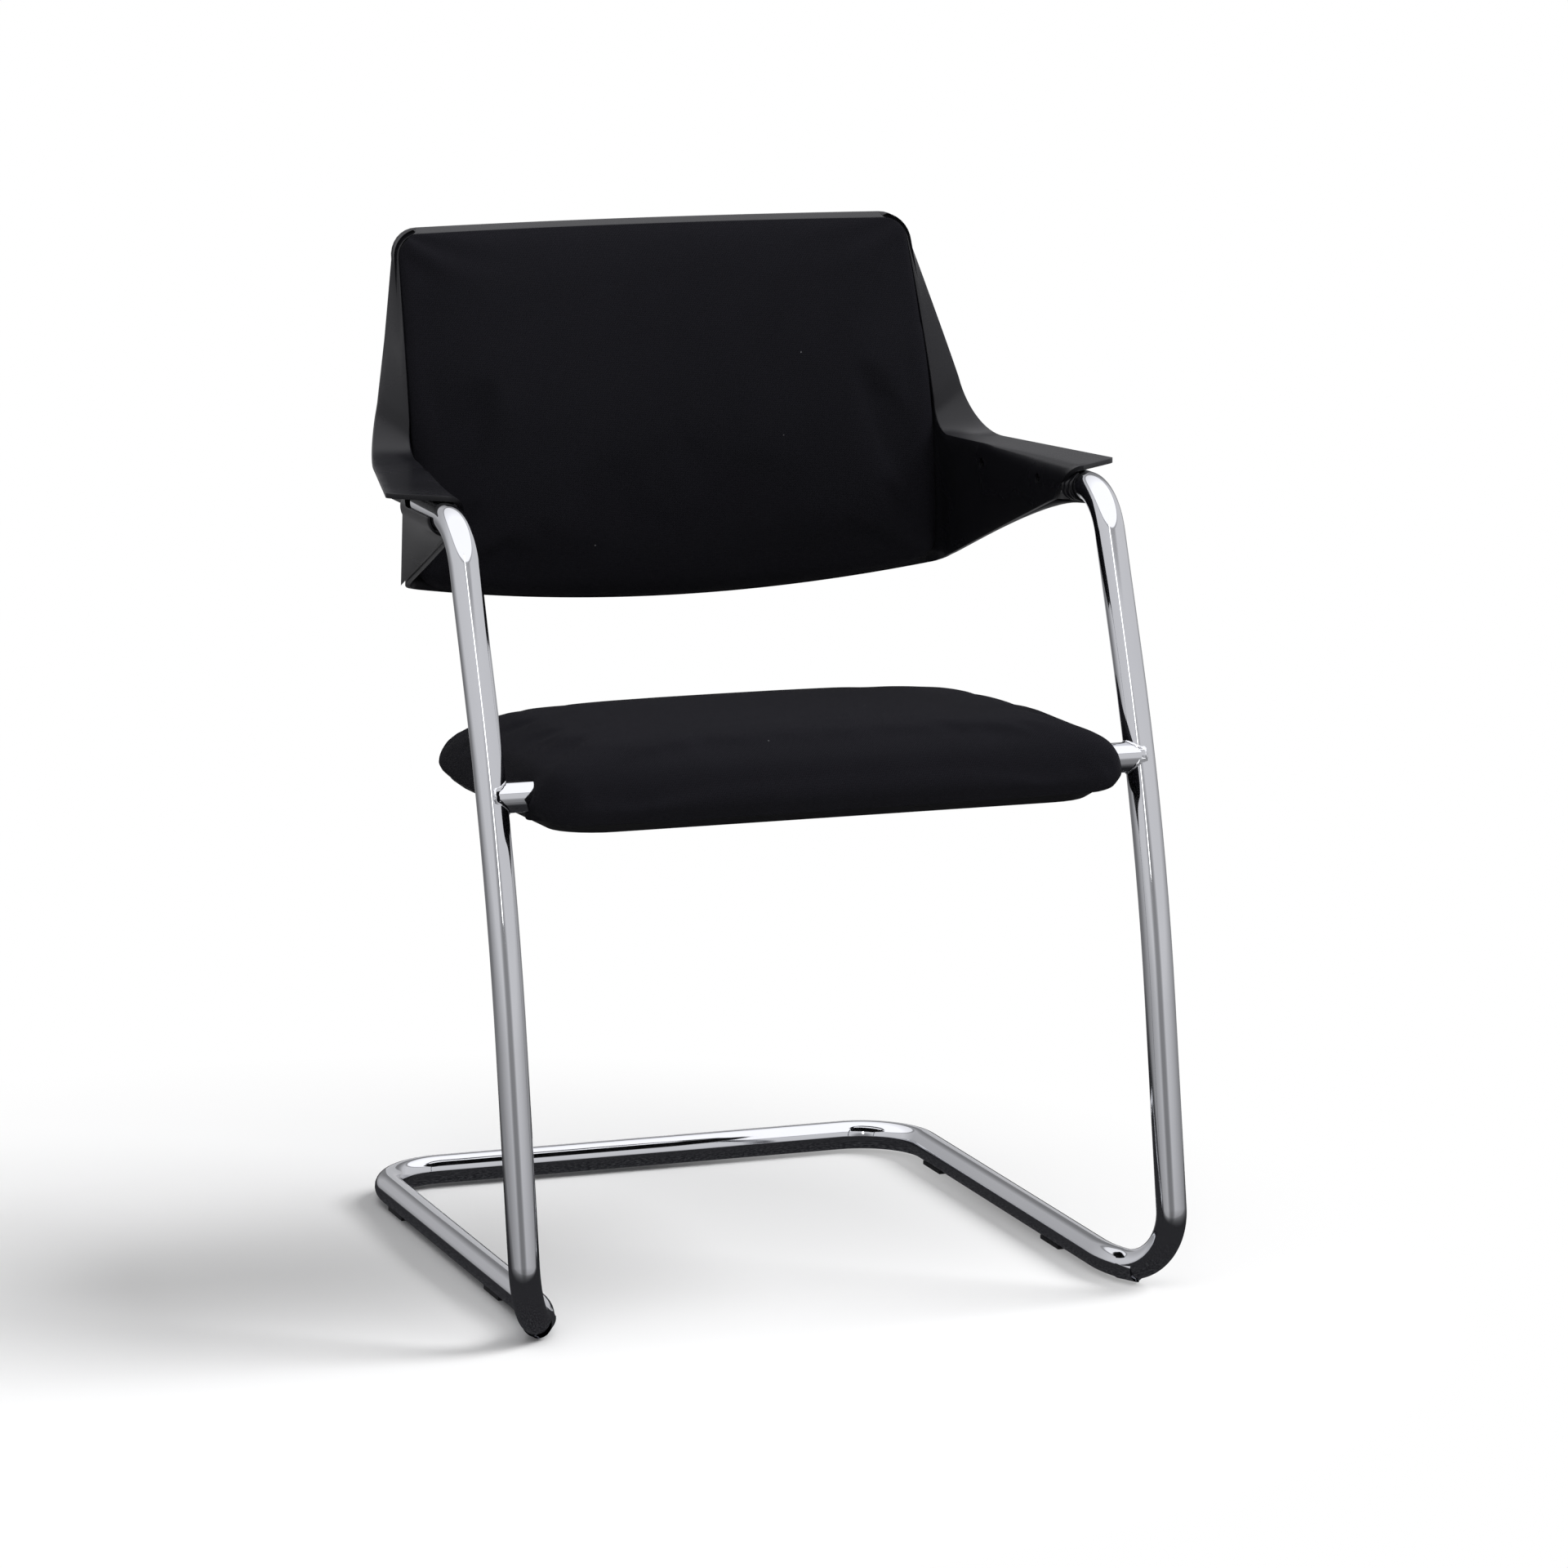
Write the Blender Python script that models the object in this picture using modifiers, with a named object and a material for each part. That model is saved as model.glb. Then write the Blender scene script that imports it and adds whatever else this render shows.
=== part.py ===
"""A sled base conference chair: a bent chrome tube carries a padded seat and a back shell with moulded arms.

Metres, +Z up. The chair faces -Y and stands on z = 0, centred on the origin.
Inside the script y is measured from the rear floor tube, forwards being negative.
"""

import math

import bmesh
import bpy
from mathutils import Matrix, Vector

# Fits
TOUCH_GAP = 0.0003
HOLE_CLEARANCE = 0.0003

# Sled frame, one bent tube
TUBE_DIAMETER = 0.025
TUBE_WALL = 0.0025
UPRIGHT_SPACING = 0.553
FLARE_WIDTH = 0.0315
BASE_DEPTH = 0.547
FLARE_LENGTH = 0.060
REAR_BEND = 0.060
FLARE_BEND = 0.114
FRONT_BEND = 0.047
LOWER_LEAN = math.radians(9.5)
UPPER_LEAN = math.radians(21.8)
LEAN_CHANGE_HEIGHT = 0.375
LEAN_BEND = 1.33
ARM_HEIGHT = 0.637
ARM_RUN = 0.120
TOP_BEND = 0.050
TUBE_SIDES = 12

# Glides under the runners
GLIDE_HEIGHT = 0.002
GLIDE_LENGTH = 0.040
GLIDE_WIDTH = 0.013
GLIDE_LIP = 0.002
GLIDE_REAR_SETBACK = 0.090
GLIDE_FRONT_SETBACK = 0.120

# Plugs in the tube ends, each with a tongue that takes the rear arm screw
PLUG_HEAD = 0.003
PLUG_DEPTH = 0.016
TONGUE_REACH = 0.018
TONGUE_WIDTH = 0.008
TONGUE_HEIGHT = 0.016
TONGUE_INSET = 0.010

# Seat carriers
CROSS_TUBE_HEIGHT = 0.430
CROSS_TUBE_WALL = 0.002
RAIL_SPACING = 0.260
RAIL_WIDTH = 0.030
RAIL_THICKNESS = 0.005
RAIL_START = 0.008
RAIL_REAR_GAP = 0.072
RAIL_SCREW_FRONT = 0.050
RAIL_SCREW_REAR = 0.040

# Seat, tipped back about the cross tube
SEAT_TILT = math.radians(3)
SEAT_SIDE_GAP = 0.0125
SEAT_FRONT_REACH = 0.066
SEAT_DEPTH = 0.408
SEAT_REAR_TAPER = 0.012
SKIRT_DROP = 0.010
SKIRT_WALL = 0.014
SKIRT_FRONT_EXTRA = 0.008
CUSHION_EDGE = 0.0135
CUSHION_CROWN = 0.008
CUSHION_FRONT_FALL = 0.001
CUSHION_REAR_FALL = 0.010
CUSHION_REAR_CORNER_FALL = 0.014
CUSHION_SHOULDER = 0.008
CUSHION_SHOULDER_DROP = 0.003
CUSHION_SKIRT_DRAW = 0.005
CUSHION_BULGE = 0.015
CUSHION_FRONT_CORNER_SHARE = 0.03
CUSHION_REAR_CORNER_SHARE = 0.06
SLOT_CLEARANCE = 0.0008
BOARD_THICKNESS = 0.008
BOARD_EDGE = 0.029
SEAT_FRONT_CORNER = 0.042
SEAT_REAR_CORNER = 0.060
PAN_SPACE = 0.0125
PAN_FLOOR = 0.003
PAN_RIM = 0.009
PAN_WALL = 0.003
PAN_EDGE_DRAW = 0.008
PAN_EDGE_RISE = 0.0065
PAN_BOSS_DIAMETER = 0.016

# Seat screws and their tee nuts
SEAT_SCREW_DIAMETER = 0.006
SEAT_SCREW_HEAD = 0.011
SEAT_SCREW_HEAD_HEIGHT = 0.004
SEAT_SCREW_SUNK = 0.006
TEE_NUT_FLANGE = 0.018
TEE_NUT_FLANGE_HEIGHT = 0.0012
TEE_NUT_WALL = 0.0012

# Back shell with its arms
SHELL_THICKNESS = 0.004
BACK_ABOVE_ARM = 0.201
BACK_BELOW_ARM = 0.094
BACK_BOTTOM_DROP = 0.021
BACK_BOTTOM_WIDTH = 0.480
BACK_TOP_WIDTH = 0.453
BACK_SETBACK = 0.265
BACK_LEAN = math.radians(22.3)
BACK_KNEE_ABOVE_ARM = 0.028
BACK_KNEE_SOFTNESS = 0.060
BACK_HOLLOW = 0.020
TRAY_DEPTH = 0.010
TOP_LIP = 0.0045
INNER_CORNER = 0.020
OUTER_CORNER = 0.025
SIDE_FLARE_SLOPE = 0.237
SIDE_SETBACK_SLOPE = 0.06
FLANGE_CLEARANCE = 0.0006
FLANGE_TIP_X = 0.0385
FLANGE_TIP_BACK = 0.077
FLANGE_NOSE_AHEAD = 0.039
FLANGE_CORNER = 0.008
FLANGE_BEND = 0.026
EDGE_BEND = 0.060
WING_TUBE_GAP = 0.002
WING_END_AHEAD = 0.051
WING_LOWER_SLOPE = 0.373
WING_LOWER_START = 0.012
WING_CHIN = 0.012
WING_CHIN_SLOPE = 0.8

# Arm screws, their bosses and the inserts in the tube
ARM_SCREW_FRONT = 0.092
ARM_SCREW_REAR = 0.194
ARM_SCREW_DIAMETER = 0.005
ARM_SCREW_HEAD = 0.009
ARM_SCREW_HEAD_HEIGHT = 0.0026
ARM_SCREW_SUNK = 0.0036
ARM_SCREW_REACH = 0.009
ARM_BOSS_DIAMETER = 0.016
INSERT_WALL = 0.0015
INSERT_LENGTH = 0.012
INSERT_BULGE = 0.0012

# Saddles and covers between the wings and the tube
SADDLE_LENGTH = 0.012
SADDLE_WALL = 0.0034
SADDLE_FROM = math.radians(128)
SADDLE_TO = math.radians(262)
COVER_WALL = 0.0022
COVER_FROM = math.radians(266)
COVER_TO = math.radians(366)

# Back pad
CARRIER_THICKNESS = 0.003
CARRIER_INSET = 0.014
PAD_INSET = 0.0010
PAD_EDGE = 0.009
PAD_CROWN = 0.014
PAD_DRAW = 0.003
CLIP_FLANGE_DIAMETER = 0.016
CLIP_FLANGE_HEIGHT = 0.0014
CLIP_STEM_DIAMETER = 0.0064
CLIP_SPACING = 0.280
CLIP_LOW_RISE = 0.047
CLIP_MIDDLE_RISE = 0.197
CLIP_HIGH_RISE = 0.252

# Shares that small turned pieces have in common
TIP_SHARE = 0.7
SOCKET_SHARE = 0.6
SOCKET_WIDTH_SHARE = 0.8
HEAD_EDGE_SHARE = 0.86

# How finely the pieces are cut
TURN_STEPS = 10
WRAP_STEPS = 10
COLUMNS = 8
CARRIER_ROWS = 14
CUT_PAST = 0.020

TUBE_RADIUS = TUBE_DIAMETER / 2
TUBE_BORE = (TUBE_RADIUS - TUBE_WALL) * math.cos(math.pi / TUBE_SIDES)
FLOOR_LINE = GLIDE_HEIGHT + TUBE_RADIUS
UPRIGHT_X = UPRIGHT_SPACING / 2
RUNNER_X = UPRIGHT_X - FLARE_WIDTH


def rounded(corners, radii, step=math.radians(10), longest=0.06):
    """Points along the runs between the corners, with each inner corner rounded to its radius."""
    points = [corners[0]]
    for before, corner, after, radius in zip(corners, corners[1:], corners[2:], radii):
        back = (before - corner).normalized()
        ahead = (after - corner).normalized()
        half = back.angle(ahead) / 2
        centre = corner + (back + ahead).normalized() * (radius / math.sin(half))
        spoke = corner + back * (radius / math.tan(half)) - centre
        last = corner + ahead * (radius / math.tan(half)) - centre
        turn = math.pi - 2 * half
        count = max(2, math.ceil(turn / step), math.ceil(turn * radius / longest))
        axis = spoke.cross(last)
        points += [centre + Matrix.Rotation(turn * k / count, 3, axis) @ spoke for k in range(count + 1)]
    return points + [corners[-1]]


def rounded_loop(corners, radii, step=math.radians(15)):
    """A closed outline with each corner rounded to its radius."""
    ring = [corners[-1], *corners, corners[0]]
    return rounded(ring, radii, step)[1:-1]


# The frame's route

KNEE_Y = -BASE_DEPTH + math.tan(LOWER_LEAN) * (LEAN_CHANGE_HEIGHT - FLOOR_LINE)
ARM_CORNER_Y = KNEE_Y + math.tan(UPPER_LEAN) * (ARM_HEIGHT - LEAN_CHANGE_HEIGHT)
ARM_END_Y = ARM_CORNER_Y + ARM_RUN

RIGHT_ROUTE = rounded(
    [
        Vector((0, 0, FLOOR_LINE)),
        Vector((RUNNER_X, 0, FLOOR_LINE)),
        Vector((RUNNER_X, FLARE_LENGTH - BASE_DEPTH, FLOOR_LINE)),
        Vector((UPRIGHT_X, -BASE_DEPTH, FLOOR_LINE)),
        Vector((UPRIGHT_X, KNEE_Y, LEAN_CHANGE_HEIGHT)),
        Vector((UPRIGHT_X, ARM_CORNER_Y, ARM_HEIGHT)),
        Vector((UPRIGHT_X, ARM_END_Y, ARM_HEIGHT)),
    ],
    [REAR_BEND, FLARE_BEND, FRONT_BEND, LEAN_BEND, TOP_BEND],
)


def upright_at(height):
    """The upright's centre and its direction at a height."""
    for low, high in zip(RIGHT_ROUTE, RIGHT_ROUTE[1:]):
        if low.z <= height <= high.z and high.z > low.z:
            return low.lerp(high, (height - low.z) / (high.z - low.z)), (high - low).normalized()
    raise ValueError("no upright at this height")


FRONT_Y = min(point.y for point in RIGHT_ROUTE) - TUBE_RADIUS
CENTRE_Y = (FRONT_Y + TUBE_RADIUS) / 2

# Levels and places of the seat, all taken from the cross tube

CROSS_CENTRE, UPRIGHT_WAY = upright_at(CROSS_TUBE_HEIGHT)
CROSS_Y = CROSS_CENTRE.y
RAIL_TOP = CROSS_TUBE_HEIGHT + TUBE_RADIUS
BOARD_BOTTOM = RAIL_TOP + TOUCH_GAP
BOARD_TOP = BOARD_BOTTOM + BOARD_THICKNESS
CUSHION_BASE = BOARD_TOP + TOUCH_GAP
CROSS_BOTTOM = CROSS_TUBE_HEIGHT - TUBE_RADIUS
SKIRT_BOTTOM = CROSS_BOTTOM - SKIRT_DROP
PAN_BOTTOM = CROSS_BOTTOM - PAN_SPACE - PAN_FLOOR
SEAT_HALF = UPRIGHT_X - TUBE_RADIUS - SEAT_SIDE_GAP
SEAT_FRONT_Y = CROSS_Y - SEAT_FRONT_REACH
SEAT_REAR_Y = SEAT_FRONT_Y + SEAT_DEPTH
RAIL_END_Y = SEAT_REAR_Y - RAIL_REAR_GAP
RAIL_SCREW_YS = (CROSS_Y + RAIL_SCREW_FRONT, RAIL_END_Y - RAIL_SCREW_REAR)
SEAT_SCREW_SEATS = [(side * RAIL_SPACING / 2, y) for side in (-1, 1) for y in RAIL_SCREW_YS]

# Levels and places of the arms and the back, all taken from the tube

FLANGE_TOP = ARM_HEIGHT + TUBE_RADIUS + FLANGE_CLEARANCE + SHELL_THICKNESS
BACK_TOP = ARM_HEIGHT + BACK_ABOVE_ARM
BACK_BOTTOM = ARM_HEIGHT - BACK_BELOW_ARM
BACK_KNEE_HEIGHT = ARM_HEIGHT + BACK_KNEE_ABOVE_ARM
BACK_FRONT_Y = ARM_CORNER_Y + BACK_SETBACK
WING_END_Y = ARM_CORNER_Y + WING_END_AHEAD
WING_FRONT_X = UPRIGHT_X - TUBE_RADIUS - WING_TUBE_GAP - SHELL_THICKNESS
TONGUE_X = UPRIGHT_X - TONGUE_INSET
ARM_SCREW_SEATS = (UPRIGHT_X - TUBE_RADIUS, TONGUE_X - TONGUE_WIDTH / 2)
ARM_SCREW_YS = (ARM_CORNER_Y + ARM_SCREW_FRONT, ARM_CORNER_Y + ARM_SCREW_REAR)


# Scene tools

for thing in list(bpy.data.objects):
    bpy.data.objects.remove(thing, do_unlink=True)

PARTS = bpy.data.collections.new("sled_base_conference_chair")
CUTTERS = bpy.data.collections.new("cutters")
for group in (PARTS, CUTTERS):
    bpy.context.scene.collection.children.link(group)

ROOT = bpy.data.objects.new("chair_origin", None)
ROOT.location = (0, -CENTRE_Y, 0)
PARTS.objects.link(ROOT)

PIVOT = Vector((0, CROSS_Y, CROSS_TUBE_HEIGHT))
SEAT_ROOT = bpy.data.objects.new("seat_origin", None)
SEAT_ROOT.parent = ROOT
SEAT_ROOT.rotation_euler = (-SEAT_TILT, 0, 0)
SEAT_ROOT.location = PIVOT - Matrix.Rotation(-SEAT_TILT, 3, "X") @ PIVOT
PARTS.objects.link(SEAT_ROOT)


def finish(name, colour, roughness, metallic=0.0):
    made = bpy.data.materials.new(name)
    made.use_nodes = True
    shader = made.node_tree.nodes["Principled BSDF"]
    shader.inputs["Base Color"].default_value = (*colour, 1.0)
    shader.inputs["Roughness"].default_value = roughness
    shader.inputs["Metallic"].default_value = metallic
    return made


CHROME = finish("polished_chrome", (0.80, 0.80, 0.82), 0.06, 1.0)
ZINC = finish("zinc_plated_steel", (0.62, 0.62, 0.60), 0.35, 1.0)
RAIL_BLACK = finish("black_painted_steel", (0.02, 0.02, 0.02), 0.45)
SHELL_BLACK = finish("black_moulded_plastic", (0.030, 0.030, 0.033), 0.55)
PAN_BLACK = finish("black_pan_plastic", (0.020, 0.020, 0.022), 0.60)
NYLON = finish("dark_nylon", (0.012, 0.012, 0.012), 0.50)
PLYWOOD = finish("beech_plywood", (0.52, 0.37, 0.22), 0.60)
FABRIC = finish("black_woven_fabric", (0.010, 0.010, 0.012), 0.95)


def place(thing, material=None):
    """Puts an object among the parts with its material, or among the cutters where it has none."""
    thing.parent = ROOT
    if material is None:
        CUTTERS.objects.link(thing)
        thing.hide_render = True
        thing.display_type = "WIRE"
    else:
        PARTS.objects.link(thing)
        thing.data.materials.append(material)
        thing.data.shade_smooth()
        thing.data.set_sharp_from_angle(angle=math.radians(35))
    return thing


def from_bmesh(name, shape, material=None):
    mesh = bpy.data.meshes.new(name)
    bmesh.ops.recalc_face_normals(shape, faces=shape.faces)
    shape.to_mesh(mesh)
    shape.free()
    return place(bpy.data.objects.new(name, mesh), material)


def curve_mesh(name, curve):
    """The closed mesh that a curve makes, with its loose caps welded."""
    guide = bpy.data.objects.new(name + "_guide", curve)
    bpy.context.scene.collection.objects.link(guide)
    bpy.context.view_layer.update()
    mesh = bpy.data.meshes.new_from_object(guide.evaluated_get(bpy.context.evaluated_depsgraph_get()))
    bpy.data.objects.remove(guide)
    mesh.name = name
    shape = bmesh.new()
    shape.from_mesh(mesh)
    bmesh.ops.remove_doubles(shape, verts=shape.verts, dist=1e-6)
    bmesh.ops.recalc_face_normals(shape, faces=shape.faces)
    shape.to_mesh(mesh)
    shape.free()
    return mesh


def curve_of(name, points, closed):
    curve = bpy.data.curves.new(name, "CURVE")
    spline = curve.splines.new("POLY")
    spline.points.add(len(points) - 1)
    for spot, point in zip(spline.points, points):
        spot.co = (*point, 1)
    spline.use_cyclic_u = closed
    return curve


def open_tube(name, points, radius, material):
    """A tube's outer skin, open at both ends."""
    curve = curve_of(name, points, False)
    curve.dimensions = "3D"
    curve.bevel_depth = radius
    curve.bevel_resolution = (TUBE_SIDES - 4) // 2
    return place(bpy.data.objects.new(name, curve_mesh(name, curve)), material)


def slab(name, outline, bottom, top, material=None):
    """A flat outline with a thickness."""
    curve = curve_of(name, outline, True)
    curve.dimensions = "2D"
    curve.fill_mode = "BOTH"
    curve.extrude = (top - bottom) / 2
    mesh = curve_mesh(name, curve)
    mesh.transform(Matrix.Translation((0, 0, (top + bottom) / 2)))
    return place(bpy.data.objects.new(name, mesh), material)


def dish(name, levels, material=None):
    """A solid whose flat outline changes from level to level, given as (height, outline) from below."""
    shape = bmesh.new()
    rings = [[shape.verts.new((point.x, point.y, z)) for point in outline] for z, outline in levels]
    for ring, above in zip(rings, rings[1:]):
        for k, spot in enumerate(ring):
            shape.faces.new((ring[k - 1], spot, above[k], above[k - 1]))
    shape.faces.new(rings[0])
    shape.faces.new(rings[-1])
    return from_bmesh(name, shape, material)


def cylinder(name, start, end, radius, material=None, sides=24):
    shape = bmesh.new()
    way = end - start
    turned_to = way.to_track_quat("Z", "Y").to_matrix().to_4x4()
    bmesh.ops.create_cone(
        shape,
        cap_ends=True,
        segments=sides,
        radius1=radius,
        radius2=radius,
        depth=way.length,
        matrix=Matrix.Translation((start + end) / 2) @ turned_to,
    )
    return from_bmesh(name, shape, material)


def block(name, low, high, material=None):
    shape = bmesh.new()
    bmesh.ops.create_cube(shape, size=1)
    bmesh.ops.scale(shape, vec=Vector(high) - Vector(low), verts=shape.verts)
    bmesh.ops.translate(shape, vec=(Vector(low) + Vector(high)) / 2, verts=shape.verts)
    return from_bmesh(name, shape, material)


def turned(name, profile, place_at, axis, material=None, closed=False):
    """A profile of (radius, height) spun about an axis, its outer side listed from the top down."""
    shape = bmesh.new()
    spots = [shape.verts.new((radius, 0, height)) for radius, height in profile]
    for one, other in zip(spots, spots[1:]):
        shape.edges.new((one, other))
    if closed:
        shape.edges.new((spots[-1], spots[0]))
    mesh = bpy.data.meshes.new(name)
    shape.to_mesh(mesh)
    shape.free()
    thing = place(bpy.data.objects.new(name, mesh), material)
    thing.location = place_at
    thing.rotation_euler = Vector(axis).to_track_quat("Z", "Y").to_euler()
    spin = thing.modifiers.new("spin", "SCREW")
    spin.steps = spin.render_steps = TURN_STEPS
    spin.use_merge_vertices = True
    spin.merge_threshold = 1e-5
    return thing


def boolean(thing, other, operation):
    step = thing.modifiers.new(other.name, "BOOLEAN")
    step.operation = operation
    step.object = other


def cut(thing, *cutters):
    for cutter in cutters:
        boolean(thing, cutter, "DIFFERENCE")


def mirrored(point):
    return Vector((-point[0], point[1], point[2]))


SIDES = (("left", -1), ("right", 1))


# Sled frame and its glides and plugs


def make_frame():
    route = [mirrored(point) for point in reversed(RIGHT_ROUTE[1:])] + RIGHT_ROUTE
    frame = open_tube("sled_frame", route, TUBE_RADIUS, CHROME)
    wall = frame.modifiers.new("wall", "SOLIDIFY")
    wall.thickness = TUBE_WALL
    wall.offset = -1
    hole = ARM_SCREW_DIAMETER / 2 + 2 * HOLE_CLEARANCE + INSERT_WALL
    for side, sign in SIDES:
        inner = Vector((sign * (UPRIGHT_X - TUBE_RADIUS - CUT_PAST), ARM_SCREW_YS[0], ARM_HEIGHT))
        middle = Vector((sign * UPRIGHT_X, ARM_SCREW_YS[0], ARM_HEIGHT))
        cut(frame, cylinder(f"insert_hole_{side}", inner, middle, hole))


def make_glides():
    front_y = FLARE_LENGTH - BASE_DEPTH + GLIDE_FRONT_SETBACK
    for end, y in (("front", front_y), ("rear", -GLIDE_REAR_SETBACK)):
        for side, sign in SIDES:
            x = sign * RUNNER_X
            half = Vector((GLIDE_WIDTH / 2, GLIDE_LENGTH / 2, 0))
            low = Vector((x, y, 0)) - half
            high = Vector((x, y, GLIDE_HEIGHT + GLIDE_LIP)) + half
            glide = block(f"glide_{end}_{side}", low, high, NYLON)
            past = Vector((0, GLIDE_LENGTH, 0))
            centre = Vector((x, y, FLOOR_LINE))
            bed = TUBE_RADIUS + TOUCH_GAP
            cut(glide, cylinder(f"glide_bed_{end}_{side}", centre - past, centre + past, bed))


def make_plugs():
    stem = TUBE_BORE - HOLE_CLEARANCE
    profile = [
        (0, PLUG_HEAD + TOUCH_GAP),
        (TUBE_RADIUS * HEAD_EDGE_SHARE, PLUG_HEAD + TOUCH_GAP),
        (TUBE_RADIUS, PLUG_HEAD / 2 + TOUCH_GAP),
        (TUBE_RADIUS, TOUCH_GAP),
        (stem, TOUCH_GAP),
        (stem, -PLUG_DEPTH),
        (0, -PLUG_DEPTH),
    ]
    thread = ARM_SCREW_DIAMETER / 2 + HOLE_CLEARANCE
    for side, sign in SIDES:
        seat = (sign * UPRIGHT_X, ARM_END_Y, ARM_HEIGHT)
        plug = turned(f"arm_tube_plug_{side}", profile, seat, (0, 1, 0), NYLON)
        half = Vector((TONGUE_WIDTH / 2, 0, TONGUE_HEIGHT / 2))
        low = Vector((sign * TONGUE_X, ARM_END_Y + TOUCH_GAP + PLUG_HEAD / 2, ARM_HEIGHT)) - half
        high = Vector((sign * TONGUE_X, ARM_SCREW_YS[1] + TONGUE_REACH, ARM_HEIGHT)) + half
        boolean(plug, block(f"plug_tongue_{side}", low, high), "UNION")
        middle = Vector((sign * TONGUE_X, ARM_SCREW_YS[1], ARM_HEIGHT))
        past = Vector((CUT_PAST, 0, 0))
        cut(plug, cylinder(f"tongue_hole_{side}", middle - past, middle + past, thread, sides=12))


# Seat carriers


def make_cross_tube():
    end = Vector((UPRIGHT_X, 0, 0))
    centre = Vector((0, CROSS_Y, CROSS_TUBE_HEIGHT))
    tube = cylinder("seat_cross_tube", centre - end, centre + end, TUBE_RADIUS, CHROME)
    past = end + Vector((CUT_PAST, 0, 0))
    cut(tube, cylinder("cross_tube_bore", centre - past, centre + past, TUBE_RADIUS - CROSS_TUBE_WALL))
    for side, sign in SIDES:
        middle = Vector((sign * UPRIGHT_X, CROSS_Y, CROSS_TUBE_HEIGHT))
        reach = UPRIGHT_WAY * TUBE_DIAMETER * 2
        cut(tube, cylinder(f"cope_{side}", middle - reach, middle + reach, TUBE_RADIUS + TOUCH_GAP))


def make_rails():
    hole = SEAT_SCREW_DIAMETER / 2 + HOLE_CLEARANCE
    axis = Vector((0, CROSS_Y, CROSS_TUBE_HEIGHT))
    for side, sign in SIDES:
        x = sign * RAIL_SPACING / 2
        low = Vector((x - RAIL_WIDTH / 2, CROSS_Y + RAIL_START, RAIL_TOP - RAIL_THICKNESS))
        high = Vector((x + RAIL_WIDTH / 2, RAIL_END_Y, RAIL_TOP))
        rail = block(f"seat_rail_{side}", low, high, RAIL_BLACK)
        past = Vector((RAIL_WIDTH, 0, 0))
        weld = axis + Vector((x, 0, 0))
        cut(rail, cylinder(f"rail_cope_{side}", weld - past, weld + past, TUBE_RADIUS + TOUCH_GAP))
        for number, y in enumerate(RAIL_SCREW_YS, 1):
            spot = Vector((x, y, RAIL_TOP))
            past_wall = Vector((0, 0, CUT_PAST))
            cut(rail, cylinder(f"rail_hole_{side}_{number}", spot - past_wall, spot + past_wall, hole))


# Seat


def seat_outline(inset):
    """The seat's plan, drawn in from the cushion's outside."""
    front_half = SEAT_HALF - inset
    rear_half = front_half - SEAT_REAR_TAPER
    front = SEAT_FRONT_Y + inset + SKIRT_FRONT_EXTRA
    rear = SEAT_REAR_Y - inset
    corners = [(-front_half, front), (front_half, front), (rear_half, rear), (-rear_half, rear)]
    radii = [SEAT_FRONT_CORNER, SEAT_FRONT_CORNER, SEAT_REAR_CORNER, SEAT_REAR_CORNER]
    return rounded_loop([Vector((x, y, 0)) for x, y in corners], radii)


def make_board():
    outline = seat_outline(SKIRT_WALL + BOARD_EDGE)
    board = slab("seat_board", outline, BOARD_BOTTOM, BOARD_TOP, PLYWOOD)
    barrel = SEAT_SCREW_DIAMETER / 2 + TEE_NUT_WALL + 2 * HOLE_CLEARANCE
    flange = TEE_NUT_FLANGE / 2 + HOLE_CLEARANCE
    shelf = -TEE_NUT_FLANGE_HEIGHT - TOUCH_GAP
    profile = [
        (0, CUT_PAST),
        (flange, CUT_PAST),
        (flange, shelf),
        (barrel, shelf),
        (barrel, -CUT_PAST),
        (0, -CUT_PAST),
    ]
    for number, (x, y) in enumerate(SEAT_SCREW_SEATS, 1):
        cut(board, turned(f"tee_nut_hole_{number}", profile, (x, y, BOARD_TOP), (0, 0, 1)))


def make_tee_nuts():
    bore = SEAT_SCREW_DIAMETER / 2 + HOLE_CLEARANCE
    barrel = bore + TEE_NUT_WALL
    shelf = -TEE_NUT_FLANGE_HEIGHT
    foot = -BOARD_THICKNESS + TOUCH_GAP
    flange = TEE_NUT_FLANGE / 2
    profile = [(bore, 0), (flange, 0), (flange, shelf), (barrel, shelf), (barrel, foot), (bore, foot)]
    for number, (x, y) in enumerate(SEAT_SCREW_SEATS, 1):
        turned(f"seat_tee_nut_{number}", profile, (x, y, BOARD_TOP), (0, 0, 1), ZINC, closed=True)


def make_seat_screws():
    """Long screws that clamp the pan, the rails and the board together from below."""
    head_z = PAN_BOTTOM + SEAT_SCREW_SUNK
    shank = SEAT_SCREW_DIAMETER / 2
    head = SEAT_SCREW_HEAD / 2
    tip = BOARD_TOP - head_z - TOUCH_GAP
    socket = SEAT_SCREW_HEAD_HEIGHT * SOCKET_SHARE
    profile = [
        (0, tip),
        (shank * TIP_SHARE, tip),
        (shank, tip - shank / 2),
        (shank, -TOUCH_GAP),
        (head, -TOUCH_GAP),
        (head, -SEAT_SCREW_HEAD_HEIGHT),
        (shank * SOCKET_WIDTH_SHARE, -SEAT_SCREW_HEAD_HEIGHT),
        (shank * SOCKET_WIDTH_SHARE, socket - SEAT_SCREW_HEAD_HEIGHT),
        (0, socket - SEAT_SCREW_HEAD_HEIGHT),
    ]
    for number, (x, y) in enumerate(SEAT_SCREW_SEATS, 1):
        turned(f"seat_screw_{number}", profile, (x, y, head_z), (0, 0, 1), ZINC)


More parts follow.
